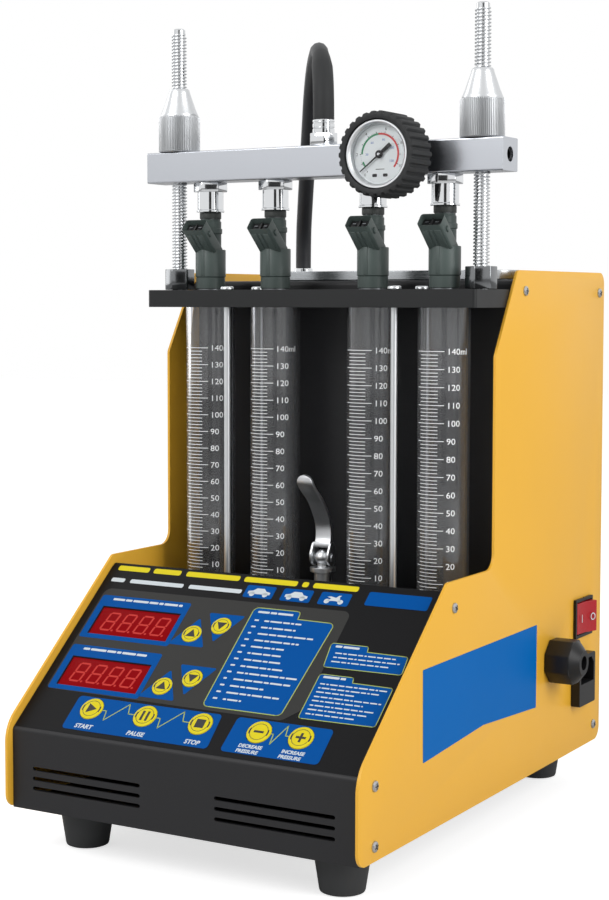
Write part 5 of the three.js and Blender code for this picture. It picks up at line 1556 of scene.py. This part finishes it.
# %% Display board
BOARD_THICK, BOARD_TOP = 1.6, -7.4
MODULE_BACK = -8.2
board = shift(film(rectangle(-124, 99.5, 16.1, 123), BOARD_THICK), 0, 0, -BOARD_THICK)
stands = [turned([(0, -1), (3, -1), (3, 5.1), (0, 5.1)], (x * MM, s * MM, 0), 24)
          for x in (-121, 96.5) for s in (19.1, 120)]
switches = [turned([(0, 0), (2.4, 0), (2.4, 4.4), (0, 4.4)], (x * MM, s * MM, 0), 20)
            for name, x, s, radius, sign in KEYS]
add("board_finished", on_slope(BOARD_TOP, board, *stands, *switches), "casing",
    BOARD_GREEN, ["display_board"])
modules = [block(-123.7, -56.3, s - 12.7, s + 12.7, 0, 7.6, 0.6, 0.2) for s in DISPLAY_LINES]
add("display_modules", on_slope(MODULE_BACK, *modules), "casing", DISPLAY_DARK)
print("board carries", len(modules), "modules and", len(switches), "switches")

# %% [markdown]
# A module shows four figures of seven bars each, dim behind their red filter. The bars are pointed
# at both ends and the whole figure leans to the right, which a shear does.

# %% Display figures
FIGURE_WIDTH, FIGURE_HEIGHT, STROKE = 8.6, 16.0, 1.5
FIGURE_START, FIGURE_PITCH = -111, 14.6
FIGURE_LAYER = -0.6


def figure(x, s):
    w, h = FIGURE_WIDTH / 2, FIGURE_HEIGHT / 2
    ends = [((-w, h), (w, h)), ((-w, 0), (w, 0)), ((-w, -h), (w, -h)), ((-w, 0), (-w, h)),
            ((w, 0), (w, h)), ((-w, -h), (-w, 0)), ((w, -h), (w, 0))]
    parts = []
    for start, end in ends:
        start, end = Vector(start), Vector(end)
        along = (end - start).normalized() * STROKE / 2
        across = Vector((-along.y, along.x))
        parts.append(film([start + along * 0.3, start + along + across, end - along + across,
                           end - along * 0.3, end - along - across, start + along - across], PRINT))
    parts.append(film(circle(w + 2.2, -h, 0.9, 16), PRINT))
    lean = Matrix.Identity(4)
    lean[0][1] = 0.14
    return move(merged(*parts), Matrix.Translation((x * MM, s * MM, 0)) @ lean)


figures = [figure(FIGURE_START + place * FIGURE_PITCH, s) for s in DISPLAY_LINES for place in range(4)]
add("display_figures", on_slope(FIGURE_LAYER, *figures), "casing", DISPLAY_LIT)
print("figures:", len(figures))

# %% [markdown]
# The side panels are screwed to the frame, six screws a side, and six more hold the rear panel.
# Each head is turned, and its cross recess is two thin black blocks that are sunk into it: painted
# shade for the dark of a cut. At this size that looks the same as a cut, and it costs far fewer faces.

# %% Screws
SIDE_SCREWS = [(22, 80), (22, 41), (138.5, 177), (256.5, 393.5), (406, 392.5), (403, 44.5)]
REAR_SCREWS = [(x, z) for x in (-128, 0, 128) for z in (46, 390)]
REAR_FACE = 411
HEAD_LIFT = 0.02


def screw(place, axis, turn):
    """A pan head that stands on a face, and black blocks for its recess, which are painted shade."""
    head = turned([(0, 0), (3.7, 0), (3.75, 0.5), (3.4, 1.2), (2.4, 1.7), (0, 1.85)], steps=32)
    recess_shade_blocks = [block(-2.1, 2.1, -0.35, 0.35, 1.45, 1.95, 0.1) for part in range(2)]
    move(recess_shade_blocks[1], Matrix.Rotation(math.pi / 2, 4, "Z"))
    matrix = Matrix.Translation(place) @ facing(axis) @ Matrix.Rotation(turn, 4, "Z")
    return move(head, matrix), move(merged(*recess_shade_blocks), matrix)


def add_screws(label, places, axis, turn_step):
    heads, recess_shade_blocks = zip(*[screw(place, axis, turn_step * i) for i, place in enumerate(places)])
    add(f"{label}_screws", merged(*heads), "casing", STEEL)
    # The black recess blocks are painted shade for the dark of a cross cut.
    add(f"{label}_screw_slots", merged(*recess_shade_blocks), "casing", INK)


for label, side in (("left", -1), ("right", 1)):
    add_screws(f"{label}_side", [at(side * (PANEL_FACE + HEAD_LIFT), y, z) for y, z in SIDE_SCREWS],
               (side, 0, 0), 0.5)
add_screws("rear", [at(x, REAR_FACE + HEAD_LIFT, z) for x, z in REAR_SCREWS], (0, 1, 0), 0.4)
print("screws:", 2 * len(SIDE_SCREWS) + len(REAR_SCREWS))

# %% [markdown]
# The right panel carries a blue decal, a thin film like those on the slope. The rocker has a bar
# for on and a ring for off. They lie on its two tilted halves, so each is tilted with its half.

# %% Side decal and rocker signs
DECAL = outline([(91.1, 79.5, 1), (188, 86.2, 0), (283.9, 80.5, 1), (284.4, 143.3, 1), (90.3, 142.4, 1)])
DECAL_THICK, DECAL_LIFT = 0.12, 0.03
ROCKER_TILT = math.radians(10.7)
HALF_TILT, SIGN_LIFT = 0.12, 4.75
decal = film(DECAL, DECAL_THICK)
move(decal, Matrix.Translation(at(PANEL_FACE, 0, 0)) @ ACROSS @ Matrix.Translation((0, 0, DECAL_LIFT * MM)))
add("side_decal", decal, "casing", DECAL_BLUE)
rocker_place = Matrix.Translation(at(PANEL_FACE, 376, 136)) @ Matrix.Rotation(-ROCKER_TILT, 4, "Z") @ ACROSS
on_mark = film(rectangle(-8.6, -7.8, -3.2, 3.2), FILM_THICK)
off_mark = shift(arc_band(2.1, 2.9, -180, 179.9, FILM_THICK), 8.0, 0)
sign_place = rocker_place @ Matrix.Translation((0, 0, SIGN_LIFT * MM))
rocker_signs = [move(mark, sign_place @ Matrix.Rotation(tilt, 4, "Y"))
                for mark, tilt in ((on_mark, HALF_TILT), (off_mark, -HALF_TILT))]
add("rocker_signs", merged(*rocker_signs), "rocker", FILM_WHITE)
print("rocker signs:", len(rocker_signs))
